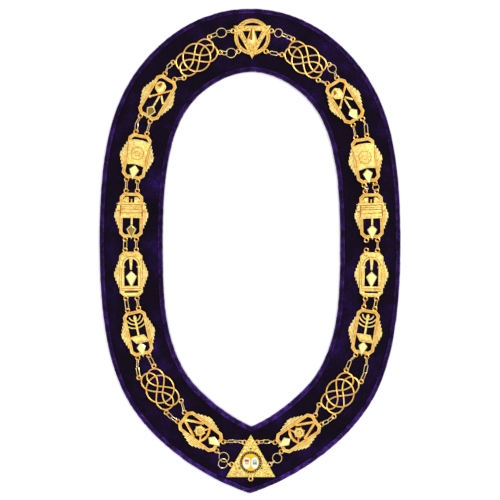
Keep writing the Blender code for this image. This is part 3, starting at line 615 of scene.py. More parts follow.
def plaque_frame():
    """Frame, wings and eyes that every plaque has."""
    shapes = [cast_shape((FRAME_OUTSIDE, FRAME_INSIDE), 0.0, CASTING_DEPTH, 0.4, polished_gold)]
    # The raised rims along both edges of the frame carry a painted highlight in their pale gold.
    for loops in ((FRAME_OUTSIDE, RIM_OUTSIDE), (RIM_INSIDE, FRAME_INSIDE)):
        shapes.append(cast_shape(loops, 2.2, 3.3, 0.2, rim_highlight_gold, 0))
    for side in (-1, 1):
        wing = []
        for x, half, _ in WING_RIBS:
            wing += [(x - WING_STEP[0], half - WING_SHORT), (x + WING_STEP[1], half - WING_SHORT)]
        wing += [(x, -y) for x, y in reversed(wing)]
        outline = wing if side == 1 else flipped(wing)
        # The step under the ribs is in the dark copy of the gold: painted shade between and round the ribs.
        shapes.append(cast_shape((outline,), 0.3, 1.9, 0.2, shade_painted_gold))
        for x, half, top in WING_RIBS:
            shapes.append(cast_bar((side * x, half), (side * x, -half), RIB_WIDTH, 1.2, top, 0.28, wing_gold))
    return shapes + eyes(PLAQUE_EYES, polished_gold)


# Places of the castings on the band. Columns: piece, then across, along and turn (millimetres, degrees) on
# the left and on the right.
PLACES = {
    "upper_knot": ((-63.88, 231.94, -55.0), (66.50, 229.26, 55.0)),
    "tools_plaque": ((-110.74, 183.71, -30.3), (113.61, 179.41, 32.0)),
    "keystone_plaque": ((-135.61, 113.18, -11.0), (138.24, 108.70, 10.0)),
    "chest_plaque": ((-142.19, 42.98, -1.0), (145.47, 42.26, 1.5)),
    "arch_plaque": ((-142.40, -27.63, 1.0), (145.42, -28.23, -1.0)),
    "candlestick_plaque": ((-133.94, -98.15, 12.2), (138.14, -96.72, -9.5)),
    "lower_knot": ((-107.64, -165.52, 38.0), (107.99, -170.30, -38.0)),
    "triangle_plaque": ((-59.19, -216.24, 53.0), (57.95, -218.27, -56.0)),
}
SEAT = 5.3


def pinned(casting, place, node_name):
    """Turns a casting, sets it down on the velvet and gives it the place of its plain solid."""
    casting.name = node_name.replace("plaque", "casting").replace("knot", "knotwork")
    across, along, turn = place
    casting.data.transform(
        Matrix.Translation((across * MM, along * MM, SEAT * MM)) @ Matrix.Rotation(math.radians(turn), 4, "Z")
    )
    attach(casting, "root")
    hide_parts(node_name)


def pinned_pairs(casting, *pieces):
    """Copies of a casting pinned on both sides of the band, once for each of its pieces."""
    for piece in pieces:
        for side, place in zip(("left", "right"), PLACES[piece]):
            bpy.ops.object.select_all(action="DESELECT")
            casting.select_set(True)
            bpy.context.view_layer.objects.active = casting
            bpy.ops.object.duplicate(linked=False)
            pinned(bpy.context.object, place, f"{side}_{piece}")
    bpy.data.objects.remove(casting)


def cast_each_side(emblem, piece):
    """A plaque cast for each side from its emblem, its point's facets dark on the left as a painted dark
    reflection and bright on the right.
    """
    for side, place, point_gold in zip(("left", "right"), PLACES[piece], (dark_reflection_gold, mirror_gold)):
        pinned(soldered(piece, plaque_frame() + emblem(point_gold)), place, f"{side}_{piece}")


# Tools plaque. A shovel, a crowbar and a pick cross over a short shaft, with the drop-shaped point below it;
# the shovel's blade is faceted.
BLADE = ((-10.6, 14.2), (-7.6, 18.2), (-2.5, 20.0), (2.6, 16.6), (3.5, 10.0), (-1.0, 4.2), (-8.4, 8.0))
BLADE_LIP = ((-8.0, 12.6), (-5.6, 17.0), (-2.6, 17.6), (-3.4, 12.4))
BLADE_FACET = ((-2.6, 16.6), (1.6, 14.6), (2.3, 10.2), (-1.4, 6.0), (-6.4, 9.0), (-3.0, 11.6))


def tools_emblem(point_gold):
    """Shovel, crowbar and pick, with the drop-shaped point under them in its own finish."""
    return [
        cast_bar((-9.8, -4.4), (10.4, 15.7), 2.3, 0.6, 2.8, 0.5, polished_gold),
        cast_bar((-9.8, -4.4), (-7.6, -2.2), 3.2, 0.8, 3.0, 0.5),
        cast_bar((2.6, 4.4), (9.6, -3.6), 2.5, 0.6, 2.7, 0.7),
        cast_bar((1.0, 3.0), (1.0, -12.5), 2.4, 0.6, 2.7, 0.7),
        cast_shape((BLADE,), 0.8, 3.1, 0.6),
        # The blade's lip is painted shade in the dark copy of the gold; its raised facet is bright mirror
        # gold, partly a painted highlight.
        cast_shape((BLADE_LIP,), 1.6, 3.5, 0.5, shade_painted_gold, 0),
        cast_shape((BLADE_FACET,), 1.6, 3.5, 0.5, mirror_gold, 0),
        drop_point(1.0, -16.3, facets=point_gold),
    ]


cast_each_side(tools_emblem, "tools_plaque")


# Keystone plaque. A plain wedge-shaped block fills the opening; it carries a ring of grains round a smaller
# ring, where the real block has an engraved mark.
KEYSTONE = both_halves(((4.0, 20.2), (9.0, 19.2), (13.4, 17.4), (10.0, -11.2), (3.0, -9.8)))
KEYSTONE_FACE = both_halves(((4.0, 18.7), (11.8, 16.4), (9.0, -9.2)))
GRAINS = 8
keystone = soldered(
    "keystone_pattern",
    plaque_frame()
    + [
        cast_shape((KEYSTONE,), 0.0, 3.0, 0.5),
        cast_shape((KEYSTONE_FACE,), 2.0, 3.5, 0.4),
        # The darker ring inside each bright ring, and the dark bars by the frame's sides, are painted shade.
        wire_ring(0.0, 3.5, 3.35, 8.2, 0.9, frosted_gold, 40, 6),
        wire_ring(0.0, 3.5, 3.2, 7.3, 0.9, shade_painted_gold, 40, 6),
        wire_ring(0.0, 3.5, 3.35, 3.6, 0.9, frosted_gold, 24, 6),
        wire_ring(0.0, 3.5, 3.2, 2.8, 0.8, shade_painted_gold, 24, 6),
        drop_point(0.0, -16.1),
    ]
    + [bead(x, y, 3.3, 0.8) for x, y in ring(0.0, 3.5, 5.7, GRAINS)]
    + twin_bars((12.9, 15.0), (10.2, -9.4), 0.7, 2.4, 3.1, 0.2, shade_painted_gold),
)
pinned_pairs(keystone, "keystone_plaque")


# Chest plaque. A banded chest with carrying poles and side handles; two crouching forms with folded wings sit
# on its lid with a small post between them.
LID_FORM = ((-10.0, 14.5), (-10.4, 18.4), (-8.4, 21.2), (-5.6, 22.2), (-3.1, 21.6), (-3.1, 14.5))
LID_WING = ((-8.4, 16.0), (-7.6, 19.6), (-4.4, 20.4), (-5.2, 16.6))
CHEST = ((-12.8, 15.2), (12.8, 15.2), (12.8, -3.4), (-12.8, -3.4))
# Bands across the chest. Columns: height on the plaque, width, top and finish. The bands in the dark copy of
# the gold are painted shade between the raised ones.
CHEST_BANDS = (
    (14.0, 1.5, 3.6, frosted_gold),
    (12.5, 0.8, 3.3, shade_painted_gold),
    (11.1, 1.1, 3.5, frosted_gold),
    (9.8, 0.6, 3.3, shade_painted_gold),
    (8.5, 1.1, 3.5, frosted_gold),
    (7.2, 0.8, 3.3, shade_painted_gold),
    (4.9, 2.8, 3.3, frosted_gold),
    (2.8, 0.6, 3.3, shade_painted_gold),
    (0.3, 3.4, 3.5, frosted_gold),
    (-2.6, 1.4, 3.6, frosted_gold),
)


def chest_emblem(point_gold):
    """Banded chest, its handles, the forms on its lid and the point under it in its own finish."""
    shapes = [
        cast_shape((CHEST,), 0.0, 3.0, 0.4),
        cast_bar((-17.6, 13.6), (17.6, 13.6), 1.2, 1.4, 3.4, 0.4),
        cast_bar((0.0, 14.0), (0.0, 19.6), 2.0, 0.6, 2.6, 0.5, polished_gold),
        cast_bar((0.6, -3.0), (0.6, -11.5), 2.6, 0.6, 2.8, 0.7),
        drop_point(0.4, -16.7, facets=point_gold),
    ]
    for y, width, top, finish in CHEST_BANDS:
        shapes.append(cast_bar((-12.4, y), (12.4, y), width, 2.4, top, 0.25, finish))
    for form, wing, eye in ((LID_FORM, LID_WING, -8.0), (flipped(LID_FORM), flipped(LID_WING), 8.0)):
        shapes += [
            cast_shape((form,), 0.0, 3.2, 0.9, rounds=2),
            cast_shape((wing,), 2.2, 3.7, 0.4),
            bead(eye, 16.2, 2.9, 0.9, shade_painted_gold),
        ]
    # The dark bars down the chest's sides and under its handles, and the forms' dark eyes, are painted shade.
    shapes += twin_bars((12.9, 12.4), (12.9, -1.4), 1.3, 2.4, 3.4, 0.2, shade_painted_gold)
    shapes += twin_bars((13.6, 9.0), (17.4, 9.0), 5.4, 1.6, 3.3, 0.4)
    shapes += twin_bars((13.8, 5.2), (17.2, 5.2), 0.7, 2.2, 3.1, 0.2, shade_painted_gold)
    return shapes


cast_each_side(chest_emblem, "chest_plaque")


# Arch plaque. A round arch on two columns stands on three steps, in a block that covers the frame and is
# engraved with rays; a stem hangs from its crown and ends in the point.
ARCH_HOLE = [(8.2, -14.2), (8.2, 8.6)] + arc(0.0, 10.4, 8.2, 0.0, 180.0, 14) + [(-8.2, 8.6), (-8.2, -14.2)]
ARCH_BAND = arc(0.0, 10.4, 10.2, 0.0, 180.0, 18) + arc(0.0, 10.4, 8.6, 180.0, 0.0, 18)
ARCH_GROOVE = arc(0.0, 10.4, 11.0, 0.0, 180.0, 18) + arc(0.0, 10.4, 10.3, 180.0, 0.0, 18)
ARCH_BLOCK = eight_corners((8.6, 25.6), (13.0, 21.2))
ARCH_STEM = ((0.0, 5.0), (-1.1, 5.0), (-2.2, 19.4), (2.2, 19.4), (1.1, 5.0))
# Where each engraved ray starts at the top of the block and where it ends by the arch.
ARCH_RAYS = (((-9.6, 24.0), (-5.95, 20.6)), ((-6.4, 24.0), (-3.97, 20.6)), ((-12.4, 18.4), (-10.4, 16.4)))
ARCH_SLOT = ((-8.0, -20.4), (8.2, -20.4), (8.2, -22.2), (-8.0, -22.2))
arch = soldered(
    "arch_pattern",
    plaque_frame()
    + [
        cast_shape((ARCH_BLOCK, ARCH_HOLE, ARCH_SLOT), 0.2, 3.4, 0.3),
        cast_shape((ARCH_BAND,), 2.0, 3.9, 0.3),
        # The groove round the arch and the lines between the steps are painted shade in the dark copy of the
        # gold.
        cast_shape((ARCH_GROOVE,), 2.6, 3.6, 0.1, shade_painted_gold),
        cast_shape((ARCH_STEM,), 0.6, 3.0, 0.5),
        cast_bar((-9.4, -15.6), (9.4, -15.6), 1.6, 2.4, 3.9, 0.3),
        cast_bar((-12.0, -17.2), (12.0, -17.2), 0.7, 2.4, 3.6, 0.1, shade_painted_gold),
        cast_bar((-11.6, -18.6), (11.6, -18.6), 1.4, 2.4, 3.9, 0.3),
        cast_bar((-12.0, -19.8), (12.0, -19.8), 0.7, 2.4, 3.6, 0.1, shade_painted_gold),
        drop_point(0.2, -2.8, 6.7, 6.6, 13.6),
    ]
    # Capitals, columns, the lines beside them and the rays; the lines and the rays are painted shade in the
    # dark copy of the gold.
    + twin_bars((10.5, 8.6), (6.9, 8.6), 1.6, 1.0, 3.8, 0.3)
    + twin_bars((9.3, 8.0), (9.3, -14.4), 1.4, 2.0, 3.9, 0.4)
    + twin_bars((11.6, 7.6), (11.6, -16.4), 0.6, 2.4, 3.6, 0.1, shade_painted_gold)
    + [bar for ray in ARCH_RAYS for bar in twin_bars(*ray, 0.6, 2.4, 3.6, 0.1, shade_painted_gold)],
)
pinned_pairs(arch, "arch_plaque")


# Candlestick plaque. A branched candlestick with three pairs of arms and a flame on its stem rises from an
# open book, which lies across the opening.
BOOK = ((-10.4, -4.2), (-8.2, -3.0), (6.4, -3.0), (10.3, -10.2), (10.3, -12.4), (-4.5, -12.4))
FLAME = [(0.0, 20.6)] + both_halves(((2.1, 19.4), (1.5, 14.0)))
BOOK_PAGE = ((-7.6, -4.2), (5.8, -4.2), (8.8, -9.8), (-4.2, -9.8))


def branch(radius, spread):
    """Pair of arms that curve up from the stem."""
    low, high = -90.0 - spread, -90.0 + spread
    outer = arc(0.0, 21.5, radius + 0.8, low, high, 16)
    return cast_shape((outer + arc(0.0, 21.5, radius - 0.8, high, low, 16),), 0.6, 2.9, 0.5)


candlestick = soldered(
    "candlestick_pattern",
    plaque_frame()
    + [
        branch(6.8, 82.0),
        branch(11.0, 66.0),
        branch(15.5, 42.0),
        cast_bar((0.0, 21.4), (0.0, -4.0), 2.6, 0.6, 3.0, 0.7),
        cast_shape((FLAME,), 1.0, 3.3, 0.5),
        cast_shape((BOOK,), 0.4, 3.0, 0.4),
        cast_shape((BOOK_PAGE,), 2.2, 3.5, 0.3, rounds=0),
        cast_bar((-4.2, -11.0), (9.8, -11.0), 0.6, 2.6, 3.2, 0.1, shade_painted_gold),
        drop_point(0.0, -17.3, 5.4),
    ],
)
pinned_pairs(candlestick, "candlestick_plaque")


# Triangle plaque. Two legs meet under the top rail and stand on a sagging base bar, with a rayed burst
# between them.
RAYS = 14
BURST = [on_circle(0.0, 1.2, 7.6 if step % 2 else 5.4, 360.0 * step / RAYS) for step in range(RAYS)]
BASE_TOP = [(-10.4, -4.6), (-5.0, -7.0), (0.0, -8.0), (5.0, -7.0), (10.4, -4.6)]
TRIANGLE_BASE = BASE_TOP + [(x, y - 3.4) for x, y in reversed(BASE_TOP)]
triangle = soldered(
    "triangle_pattern",
    plaque_frame()
    + twin_bars((0.6, 23.2), (9.9, 2.4), 3.2, 0.4, 2.9, 0.8, polished_gold)
    + [
        cast_shape((TRIANGLE_BASE,), 0.4, 2.9, 0.7, polished_gold),
        cast_shape((BURST,), 0.6, 3.0, 0.4, rounds=0),
        wire_ring(0.0, 1.2, 2.9, 3.6, 0.9),
        # The inner ring round the boss is painted shade.
        wire_ring(0.0, 1.2, 2.8, 2.7, 0.8, shade_painted_gold),
        bead(0.0, 1.2, 2.6, 1.7),
        drop_point(0.0, -17.2, 5.5),
    ]
    + [bead(x, y, 2.7, 0.8) for x, y in ring(0.0, 1.2, 5.6, RAYS)]
    + twin_bars((4.6, -3.2), (9.2, -6.4), 2.0, 0.6, 2.7, 0.4, polished_gold),
)
pinned_pairs(triangle, "triangle_plaque")


# Knots. Two mirrored strands and an oval are interlaced over and under each other in one casting of round
# wire, with an eye at each corner.
# Columns: across, along and level (1 over a crossing, -1 under it), half round one strand.
HALF_STRAND = [
    (13.4, 10.4, 1),
    (13.9, 15.6, 0),
    (12.2, 20.8, 0),
    (7.6, 24.6, 0),
    (0.0, 24.3, -1),
    (-3.9, 20.6, 0),
    (-5.1, 15.5, 1),
    (-3.4, 9.6, 0),
    (0.0, 4.8, -1),
    (5.0, 0.0, 1),
    (9.6, -4.8, 0),
]
STRAND = HALF_STRAND + [(x, -y, -level) for x, y, level in HALF_STRAND]
STRAND_WIDTH = 2.05
STRAND_LEVEL = 1.6
STRAND_DIP = 0.35
KNOT_OVAL = (16.8, 16.3)
# Angles from the long axis at which the oval meets the strands (degrees), over them and under them in turn.
KNOT_CROSSINGS = (18.0, 52.0, 128.0, 162.0, 198.0, 232.0, 308.0, 342.0)
KNOT_EYES = ((-11.3, 26.6), (11.3, 26.6), (-11.3, -26.6), (11.3, -26.6))
KNOT_EYE_HEIGHT = 2.2


def strand(points, finish):
    """Closed strand of round wire that passes over and under at its crossings."""
    bpy.ops.object.add(type="CURVE")
    wire = bpy.context.object
    line = wire.data
    line.dimensions = "3D"
    line.bevel_depth = STRAND_WIDTH / 2.0 * MM
    line.bevel_resolution = 2
    line.resolution_u = 5
    spline = line.splines.new("BEZIER")
    spline.bezier_points.add(len(points) - 1)
    for point, (x, y, level) in zip(spline.bezier_points, points):
        point.co = (x * MM, y * MM, (STRAND_LEVEL + STRAND_DIP * level) * MM)
        point.handle_left_type = "AUTO"
        point.handle_right_type = "AUTO"
    spline.use_cyclic_u = True
    return made_solid(wire, finish)


def oval_points():
    """Points round the knot's oval: its crossings and one point between each two."""
    points = []
    closed = KNOT_CROSSINGS + (KNOT_CROSSINGS[0] + 360.0,)
    for index, (turn, after) in enumerate(zip(closed, closed[1:])):
        for degrees, level in ((turn, -1 if index % 2 else 1), ((turn + after) / 2.0, 0)):
            angle = math.radians(degrees)
            points.append((KNOT_OVAL[0] * math.sin(angle), KNOT_OVAL[1] * math.cos(angle), level))
    return points


satin_gold = gilt("satin_gold_plate", ("#E8B25C", "#F2CA76"), 0.28, 600.0, 0.0005, 0.2)
knot = soldered(
    "knot_pattern",
    [
        strand(STRAND, satin_gold),
        strand([(-x, y, -level) for x, y, level in STRAND], satin_gold),
        strand(oval_points(), satin_gold),
    ]
    + eyes(KNOT_EYES, satin_gold, KNOT_EYE_HEIGHT),
)
pinned_pairs(knot, "upper_knot", "lower_knot")


# Back medallion. A flat ring is crossed by a broad three-cornered plate that points to the front; both are
# frosted, and a faceted blade stands over the middle.
CREST_PLACE = (2.6, 256.6, 0.0)
CREST_CORNERS = ((-22.6, 13.3), (22.6, 13.3), (1.8, -22.0), (0.0, -27.2), (-1.8, -22.0))
CREST_WINDOW = ((2.9, 6.9), (11.7, 6.9), (6.2, -4.2))
CREST_BLADE = ((-0.8, 10.8), (1.6, 10.8), (4.6, -3.6), (0.6, -9.4), (-4.6, -3.6))
CREST_FACET = ((-0.6, 10.4), (0.4, 10.4), (0.2, -4.6), (-4.0, -3.0))
CREST_EYES = [on_circle(0.0, 0.0, 24.1, turn) for turn in (163.0, 17.0, 226.5, -46.5)]
grained_gold = gilt("grained_gold_plate", ("#E4C672", "#F2E49E"), 0.34, 640.0, 0.0022, 0.95)
medallion = soldered(
    "medallion_pattern",
    [
        cast_shape((ring(0.0, 0.0, 21.8), ring(0.0, 0.0, 16.9)), 0.0, 2.5, 0.6, grained_gold, 2),
        wire_ring(0.0, 0.0, 2.3, 21.1, 0.9, satin_gold, 56, 6),
        # The middle wire ring is painted shade between the two bright ones.
        wire_ring(0.0, 0.0, 2.3, 19.4, 0.8, shade_painted_gold, 56, 6),
        wire_ring(0.0, 0.0, 2.3, 17.6, 0.8, satin_gold, 56, 6),
        cast_shape((CREST_CORNERS, CREST_WINDOW, flipped(CREST_WINDOW)), 0.2, 2.9, 0.4, grained_gold),
        cast_bar((-20.4, 12.3), (20.4, 12.3), 0.8, 2.4, 3.3, 0.3, satin_gold),
        cast_bar((-14.6, 7.9), (14.6, 7.9), 0.8, 2.4, 3.2, 0.3, satin_gold),
        cast_shape((CREST_BLADE,), 1.0, 3.2, 0.5, mirror_gold, 0),
        # The blade's left facet is painted shade.
        cast_shape((CREST_FACET,), 2.2, 3.5, 0.3, shade_painted_gold, 0),
        cast_bar((-5.4, -3.6), (0.6, -10.2), 1.0, 2.2, 3.3, 0.3),
        cast_bar((5.4, -3.6), (0.2, -10.2), 1.0, 2.2, 3.3, 0.3),
    ]
    + twin_bars((19.9, 11.0), (0.6, -24.4), 0.8, 2.4, 3.2, 0.3, satin_gold)
    # The lines on the plate are painted shade.
    + twin_bars((12.9, 5.4), (3.0, -13.0), 0.6, 2.4, 3.1, 0.2, shade_painted_gold)
    + eyes(CREST_EYES, satin_gold),
)
pinned(medallion, CREST_PLACE, "back_medallion")


# Front plate. A three-cornered plate with a frosted, grained face holds the enamel in a turned bezel, which
# carries plain ticks; small rings stand at its edges for the chains and for a hanging jewel.
PLATE_PLACE = (0.9, -219.6, 0.0)
PLATE_CORNERS = ((0.0, 0.0), (29.6, -51.2), (-29.6, -51.2))
DISC_DROP = -33.2
PLATE_EYES = ((-7.68, -9.49), (7.68, -9.49), (-22.96, -35.91), (22.96, -35.91))
pale_gold = gilt("hammered_pale_gold", ("#ECDA80", "#F6ECA2"), 0.34, 680.0, 0.0022, 0.9)
# The bezel is darkened with an oxide that leaves the metal brown-black and slightly uneven.
dark_gold = gilt("darkened_gold_bezel", ("#32281E", "#4C4034"), 0.45, 500.0, 0.0004, 0.3)
TICKS = 26
front = soldered(
    "front_pattern",
    [
        cast_shape((PLATE_CORNERS,), 0.0, CASTING_DEPTH, 0.5, pale_gold, 2),
        cast_shape((ring(0.0, DISC_DROP, 13.1), ring(0.0, DISC_DROP, 10.7)), 0.4, 3.9, 0.3, dark_gold),
        wire_ring(0.0, DISC_DROP, 3.2, 13.3, 0.7, frosted_gold, 48, 6),
        wire_ring(0.0, DISC_DROP, 3.7, 10.7, 0.5, dark_gold, 48, 6),
        wire_ring(0.0, -53.1, 2.4, 2.4, 1.7, satin_gold),
    ]
    + eyes(PLATE_EYES, satin_gold)
    + [
        cast_bar(inner, outer, 0.55, 3.5, 4.1, 0.1)
        for inner, outer in zip(ring(0.0, DISC_DROP, 11.3, TICKS), ring(0.0, DISC_DROP, 12.4, TICKS))
    ]
    + [bead(x, y, 2.7, 1.0, dark_gold) for x, y in ((0.0, -17.4), (-13.2, -40.4), (13.2, -40.4))],
)
pinned(front, PLATE_PLACE, "front_plate")


# Enamel disc. Glassy enamel fired on a round plate: a golden-yellow ground with two plain white ovals, each
# crossed by two bars of plain colour, where the real disc carries a painted design.
# Columns: name, then the enamel's tone where it lies deep and where it lies thin.
ENAMELS = (
    ("yellow", "#E6A804", "#F0BC0C"),
    ("white", "#F2F2EE", "#FBFBF8"),
    ("red", "#B42C36", "#C84048"),
    ("green", "#5E8C4C", "#78A462"),
    ("blue", "#8CB4D4", "#A8CAE2"),
)


def fired_enamel(name, deep, thin):
    """Opaque glass enamel: clouds of about 2 mm where it lies deeper, under a smooth glossy skin."""
    material, shader = new_material(
        f"fired_enamel_{name}",
        {"Roughness": 0.12, "Specular IOR Level": 0.25, "Coat Weight": 0.2, "Coat Roughness": 0.05},
    )
    place = add_node(material, "ShaderNodeTexCoord").outputs["Object"]
    cloud = add_node(material, "ShaderNodeTexNoise", {"Scale": 480.0, "Detail": 2.0}, {"Vector": place})
    depths = ((0.35, deep), (0.65, thin))
    tone = add_node(material, "ShaderNodeValToRGB", links={"Fac": cloud.outputs["Fac"]}, stops=depths)
    join(material, shader, {"Base Color": tone.outputs["Color"]})
    return material


enamels = {name: fired_enamel(name, deep, thin) for name, deep, thin in ENAMELS}
OVAL_OUT = 4.8
OVAL_SHARE = 0.62
right_oval = [(x * OVAL_SHARE + OVAL_OUT, y) for x, y in ring(0.0, -0.8, 6.6)]
# Columns: enamel, outline, bottom and top.
FIELDS = (
    ("yellow", ring(0.0, 0.0, 10.3), 0.3, 1.3),
    ("white", flipped(right_oval), 0.8, 1.42),
    ("white", right_oval, 0.8, 1.42),
    ("red", ((-7.3, 3.6), (-2.3, 3.6), (-2.1, 0.6), (-7.5, 0.6)), 1.0, 1.54),
    ("yellow", ((-7.5, 0.2), (-2.1, 0.2), (-2.3, -2.8), (-7.3, -2.8)), 1.0, 1.54),
    ("blue", ((2.3, 3.6), (7.3, 3.6), (7.5, 0.6), (2.1, 0.6)), 1.0, 1.54),
    ("green", ((2.1, 0.2), (7.5, 0.2), (7.3, -2.8), (2.3, -2.8)), 1.0, 1.54),
)
fields = [cast_shape((loop,), low, high, 0.08, enamels[name]) for name, loop, low, high in FIELDS]
disc = soldered("enamel_fields", fields)
disc_middle = (PLATE_PLACE[0] * MM, (PLATE_PLACE[1] + DISC_DROP) * MM, (SEAT + CASTING_DEPTH) * MM)
disc.data.transform(Matrix.Translation(disc_middle))
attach(disc, "root")
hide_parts("enamel_disc")


# Chain. Short runs of gilt wire links join each casting to the next, one run on the outer and one on the
# opening's side; the run between chest and arch on the right is missing, as on the real piece.
CHAIN_WIRE = 1.1
# Columns: width (0 for round), roll out of upright (degrees) and share of the run's length.
LINK_KINDS = {
    "small": (2.9, 28.0, 0.62),
    "link": (3.2, 30.0, 1.00),
    "oval": (4.6, 50.0, 1.15),
    "ring": (0.0, 72.0, 1.45),
    "hoop": (0.0, 74.0, 1.85),
    "stub": (2.6, 20.0, 0.45),
}
# Stands in the table of runs for the one run whose links are placed one by one.
SLACK = "slack"
ORDER = ["back_medallion", *PLACES, "front_plate"]
# Runs from each casting to the next in that order. Columns: links and sideways bow (share of the span) on the
# left, then on the right.
RUNS = {
    "outer": (
        (("link ring oval", 0.06), ("small ring oval oval", 0.04)),
        (("oval link", 0.12), ("ring link", 0.08)),
        (("link oval", 0.10), ("small oval", 0.12)),
        (("link", 0.0), ("ring", 0.0)),
        (("oval", 0.0), ("link", 0.0)),
        (("oval", 0.0), ("oval", 0.0)),
        (("link oval", 0.06), ("link oval oval", 0.08)),
        (("oval oval", 0.05), ("oval oval", 0.05)),
        (SLACK, ("small hoop link", 0.12)),
    ),
    "inner": (
        (("stub hoop oval", 0.10), ("small oval small", 0.02)),
        (("link", 0.0), ("link", 0.0)),
        (("link", 0.0), ("link", 0.0)),
        (("link", 0.0), ("oval link", -0.55)),
        (("link", 0.0), None),
        (("link", 0.0), ("link", 0.0)),
        (("oval", 0.0), ("link oval", 0.10)),
        (("link", 0.0), ("link", 0.0)),
        (("link oval link oval", 0.04), ("link oval oval", 0.04)),
    ),
}
# The run at the front plate's left corner lies slack, one round ring over the other. Columns: link, where it
# starts and ends, across and along from the triangle plaque's eye, and how far it lies below the eye.
SLACK_LINKS = (
    ("stub", (0.4, -0.4), (4.6, -4.0), 0.0),
    ("hoop", (4.4, -3.6), (13.0, -12.0), 0.6),
    ("hoop", (8.2, -9.8), (6.8, -20.8), 0.2),
    ("small", (12.4, -15.8), (17.2, -16.6), 0.2),
)
# How far a run's end lies inside its eye, how far two links overlap, and how far a run of three links or more
# dips in its middle.
LINK_IN_EYE = 0.75
LINK_BITE = 1.1
EYE_LEVEL = SEAT + EYE_HEIGHT
RUN_DIP = 1.1
# Where the runs end in the front plate's eyes, a hair off the centres of these; same order as PLATE_EYES.
PLATE_RUN_ENDS = ((-7.6834, -9.4938), (7.6834, -9.4938), (-22.957, -35.913), (22.957, -35.913))
# Drawn wire is plated bright and smooth, so each link carries a thin light line and a brown shadow.
wire_gold = gilt("gold_plated_wire", ("#EECC86", "#FAEAB6"), 0.18, 600.0, 0.0001, 0.1)


def eye_place(piece, side, lane, end):
    """Centre of the eye of a casting that a run hangs in, in millimetres."""
    outer = lane == "outer"
    if piece == "back_medallion":
        place, spot = CREST_PLACE, CREST_EYES[(side == 1) + (0 if outer else 2)]
    elif piece == "front_plate":
        place, spot = PLATE_PLACE, PLATE_RUN_ENDS[(side == 1) + (2 if outer else 0)]
    else:
        corners = KNOT_EYES if piece.endswith("knot") else PLAQUE_EYES
        place, spot = PLACES[piece][side == 1], corners[((side == 1) == outer) + (0 if end == 1 else 2)]
    across, along, turn = place
    spot = Vector(spot)
    spot.rotate(Matrix.Rotation(math.radians(turn), 2))
    return Vector((across, along)) + spot


def wire_link(start, end, kind, lean):
    """One link: a wire ring drawn out to its length, rolled about it and set between two points."""
    width, roll, _ = LINK_KINDS[kind]
    span = end - start
    radius = (width or span.length) / 2.0
    bpy.ops.mesh.primitive_torus_add(
        major_segments=24, minor_segments=8, major_radius=radius * MM, minor_radius=CHAIN_WIRE / 2.0 * MM
    )
    link = bpy.context.object
    stretch = max(0.0, span.length / 2.0 - radius) * MM
    for vertex in link.data.vertices:
        vertex.co.x += math.copysign(stretch, vertex.co.x)
    link.data.transform(
        Matrix.Translation((start + end) / 2.0 * MM)
        @ span.to_track_quat("X", "Z").to_matrix().to_4x4()
        @ Matrix.Rotation(math.radians(90.0 + roll * lean), 4, "X")
    )
    link.data.materials.append(wire_gold)
    return link


def chain_run(name, first, last, kinds, bow):
    """Links of one run along a shallow bow between two eyes, sagging on to the velvet in its middle."""
    way = (last - first).normalized()
    side = way.orthogonal()
    first, last = first + way * LINK_IN_EYE, last - way * LINK_IN_EYE
    span = (last - first).length
    shares = [LINK_KINDS[kind][2] for kind in kinds]
    turns = [sum(shares[:count]) / sum(shares) for count in range(len(shares) + 1)]
    joints = []
    for turn in turns:
        rise = 4.0 * turn * (1.0 - turn)
        spot = first + way * span * turn + side * bow * span * rise
        dip = RUN_DIP * rise if len(kinds) > 2 else 0.0
        joints.append(Vector((spot.x, spot.y, EYE_LEVEL - dip)))
    links = []
    for index, ((start, end), kind) in enumerate(zip(zip(joints, joints[1:]), kinds)):
        along = (end - start).normalized() * LINK_BITE / 2.0
        start = start - along if index else start
        end = end + along if index < len(kinds) - 1 else end
        links.append(wire_link(start, end, kind, -1 if index % 2 else 1))
    return soldered(name, links)


def slack_run(name, eye):
    """Links of the slack run, at the places that its table gives."""
    links = []
    for index, (kind, start, end, below) in enumerate(SLACK_LINKS):
        level = Vector((eye.x, eye.y, EYE_LEVEL - below))
        ends = [level + Vector(spot).to_3d() for spot in (start, end)]
        links.append(wire_link(*ends, kind, -1 if index % 2 else 1))
    return soldered(name, links)


LANES = (("outer", "left", -1), ("outer", "right", 1), ("inner", "left", -1), ("inner", "right", 1))
for number, (upper, lower) in enumerate(zip(ORDER, ORDER[1:])):
    for lane, half, side in LANES:
        run = RUNS[lane][number][half == "right"]
        if run is None:
            continue
        node_name = f"{half}_{lane}_chain_{number + 1}"
        piece_name = node_name.replace("chain", "links")
        outward = side if lane == "outer" else -side
        first, last = eye_place(upper, side, lane, -1), eye_place(lower, side, lane, 1)
        if run == SLACK:
            chain = slack_run(piece_name, first)
        else:
            chain = chain_run(piece_name, first, last, run[0].split(), run[1] * outward)
        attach(chain, "root")
        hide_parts(node_name)


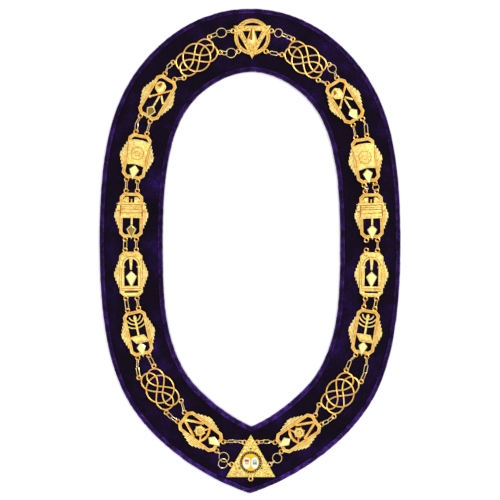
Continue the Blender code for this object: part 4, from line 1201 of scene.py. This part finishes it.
# Studio. The collar lies on a plain white table under two large soft lights and a bright ceiling, seen from
# straight above.
bpy.ops.mesh.primitive_plane_add(size=6.0, location=(0.0, 0.0, 0.0))
table = bpy.context.object
table.name = "white_table"
paper, paper_shader = new_material("matt_white_card", {"Base Color": linear("#FAFAFA"), "Roughness": 0.9})
table.data.materials.append(paper)

# Columns: place, size, power (watts) and colour of each soft light, aimed at the collar's middle.
LIGHTS = (
    ((1.2, 0.8, 1.3), 0.7, 12.0, "#FFFFFF"),
    ((-1.0, -0.9, 1.6), 0.7, 7.0, "#FFFFFF"),
)
for spot, size, power, code in LIGHTS:
    bpy.ops.object.light_add(type="AREA", location=spot)
    lamp = bpy.context.object
    lamp.data.size = size
    lamp.data.energy = power
    lamp.data.color = linear(code)[:3]
    lamp.rotation_euler = (-Vector(spot)).to_track_quat("-Z", "Y").to_euler()

# The room: a bright ceiling and darker walls, so that flat metal shines and sloping metal shows its form.
sky = bpy.data.worlds.new("soft_room")
sky.use_nodes = True
way_up = add_node(sky, "ShaderNodeTexCoord").outputs["Generated"]
height = add_node(sky, "ShaderNodeSeparateXYZ", links={"Vector": way_up})
brighter = {"From Min": 0.15, "From Max": 0.95, "To Min": 0.32, "To Max": 1.35}
ceiling = add_node(sky, "ShaderNodeMapRange", brighter, {"Value": height.outputs["Z"]})
room = sky.node_tree.nodes["Background"]
room.inputs["Color"].default_value = linear("#FFFFFF")
join(sky, room, {"Strength": ceiling.outputs["Result"]})
bpy.context.scene.world = sky
bpy.context.scene.view_settings.view_transform = "Standard"

LENS = 85.0
SENSOR = 36.0
# How much of the table the view takes in, at which height, and how far back its middle lies.
VIEW_WIDTH = 600.0
VIEW_LEVEL = 5.0
VIEW_BACK = 1.2
view_height = VIEW_WIDTH * LENS / SENSOR + VIEW_LEVEL
bpy.ops.object.camera_add(location=(0.0, VIEW_BACK * MM, view_height * MM))
camera = bpy.context.object
camera.rotation_euler = (0.0, 0.0, 0.0)
camera.data.lens = LENS
camera.data.sensor_width = SENSOR
bpy.context.scene.camera = camera
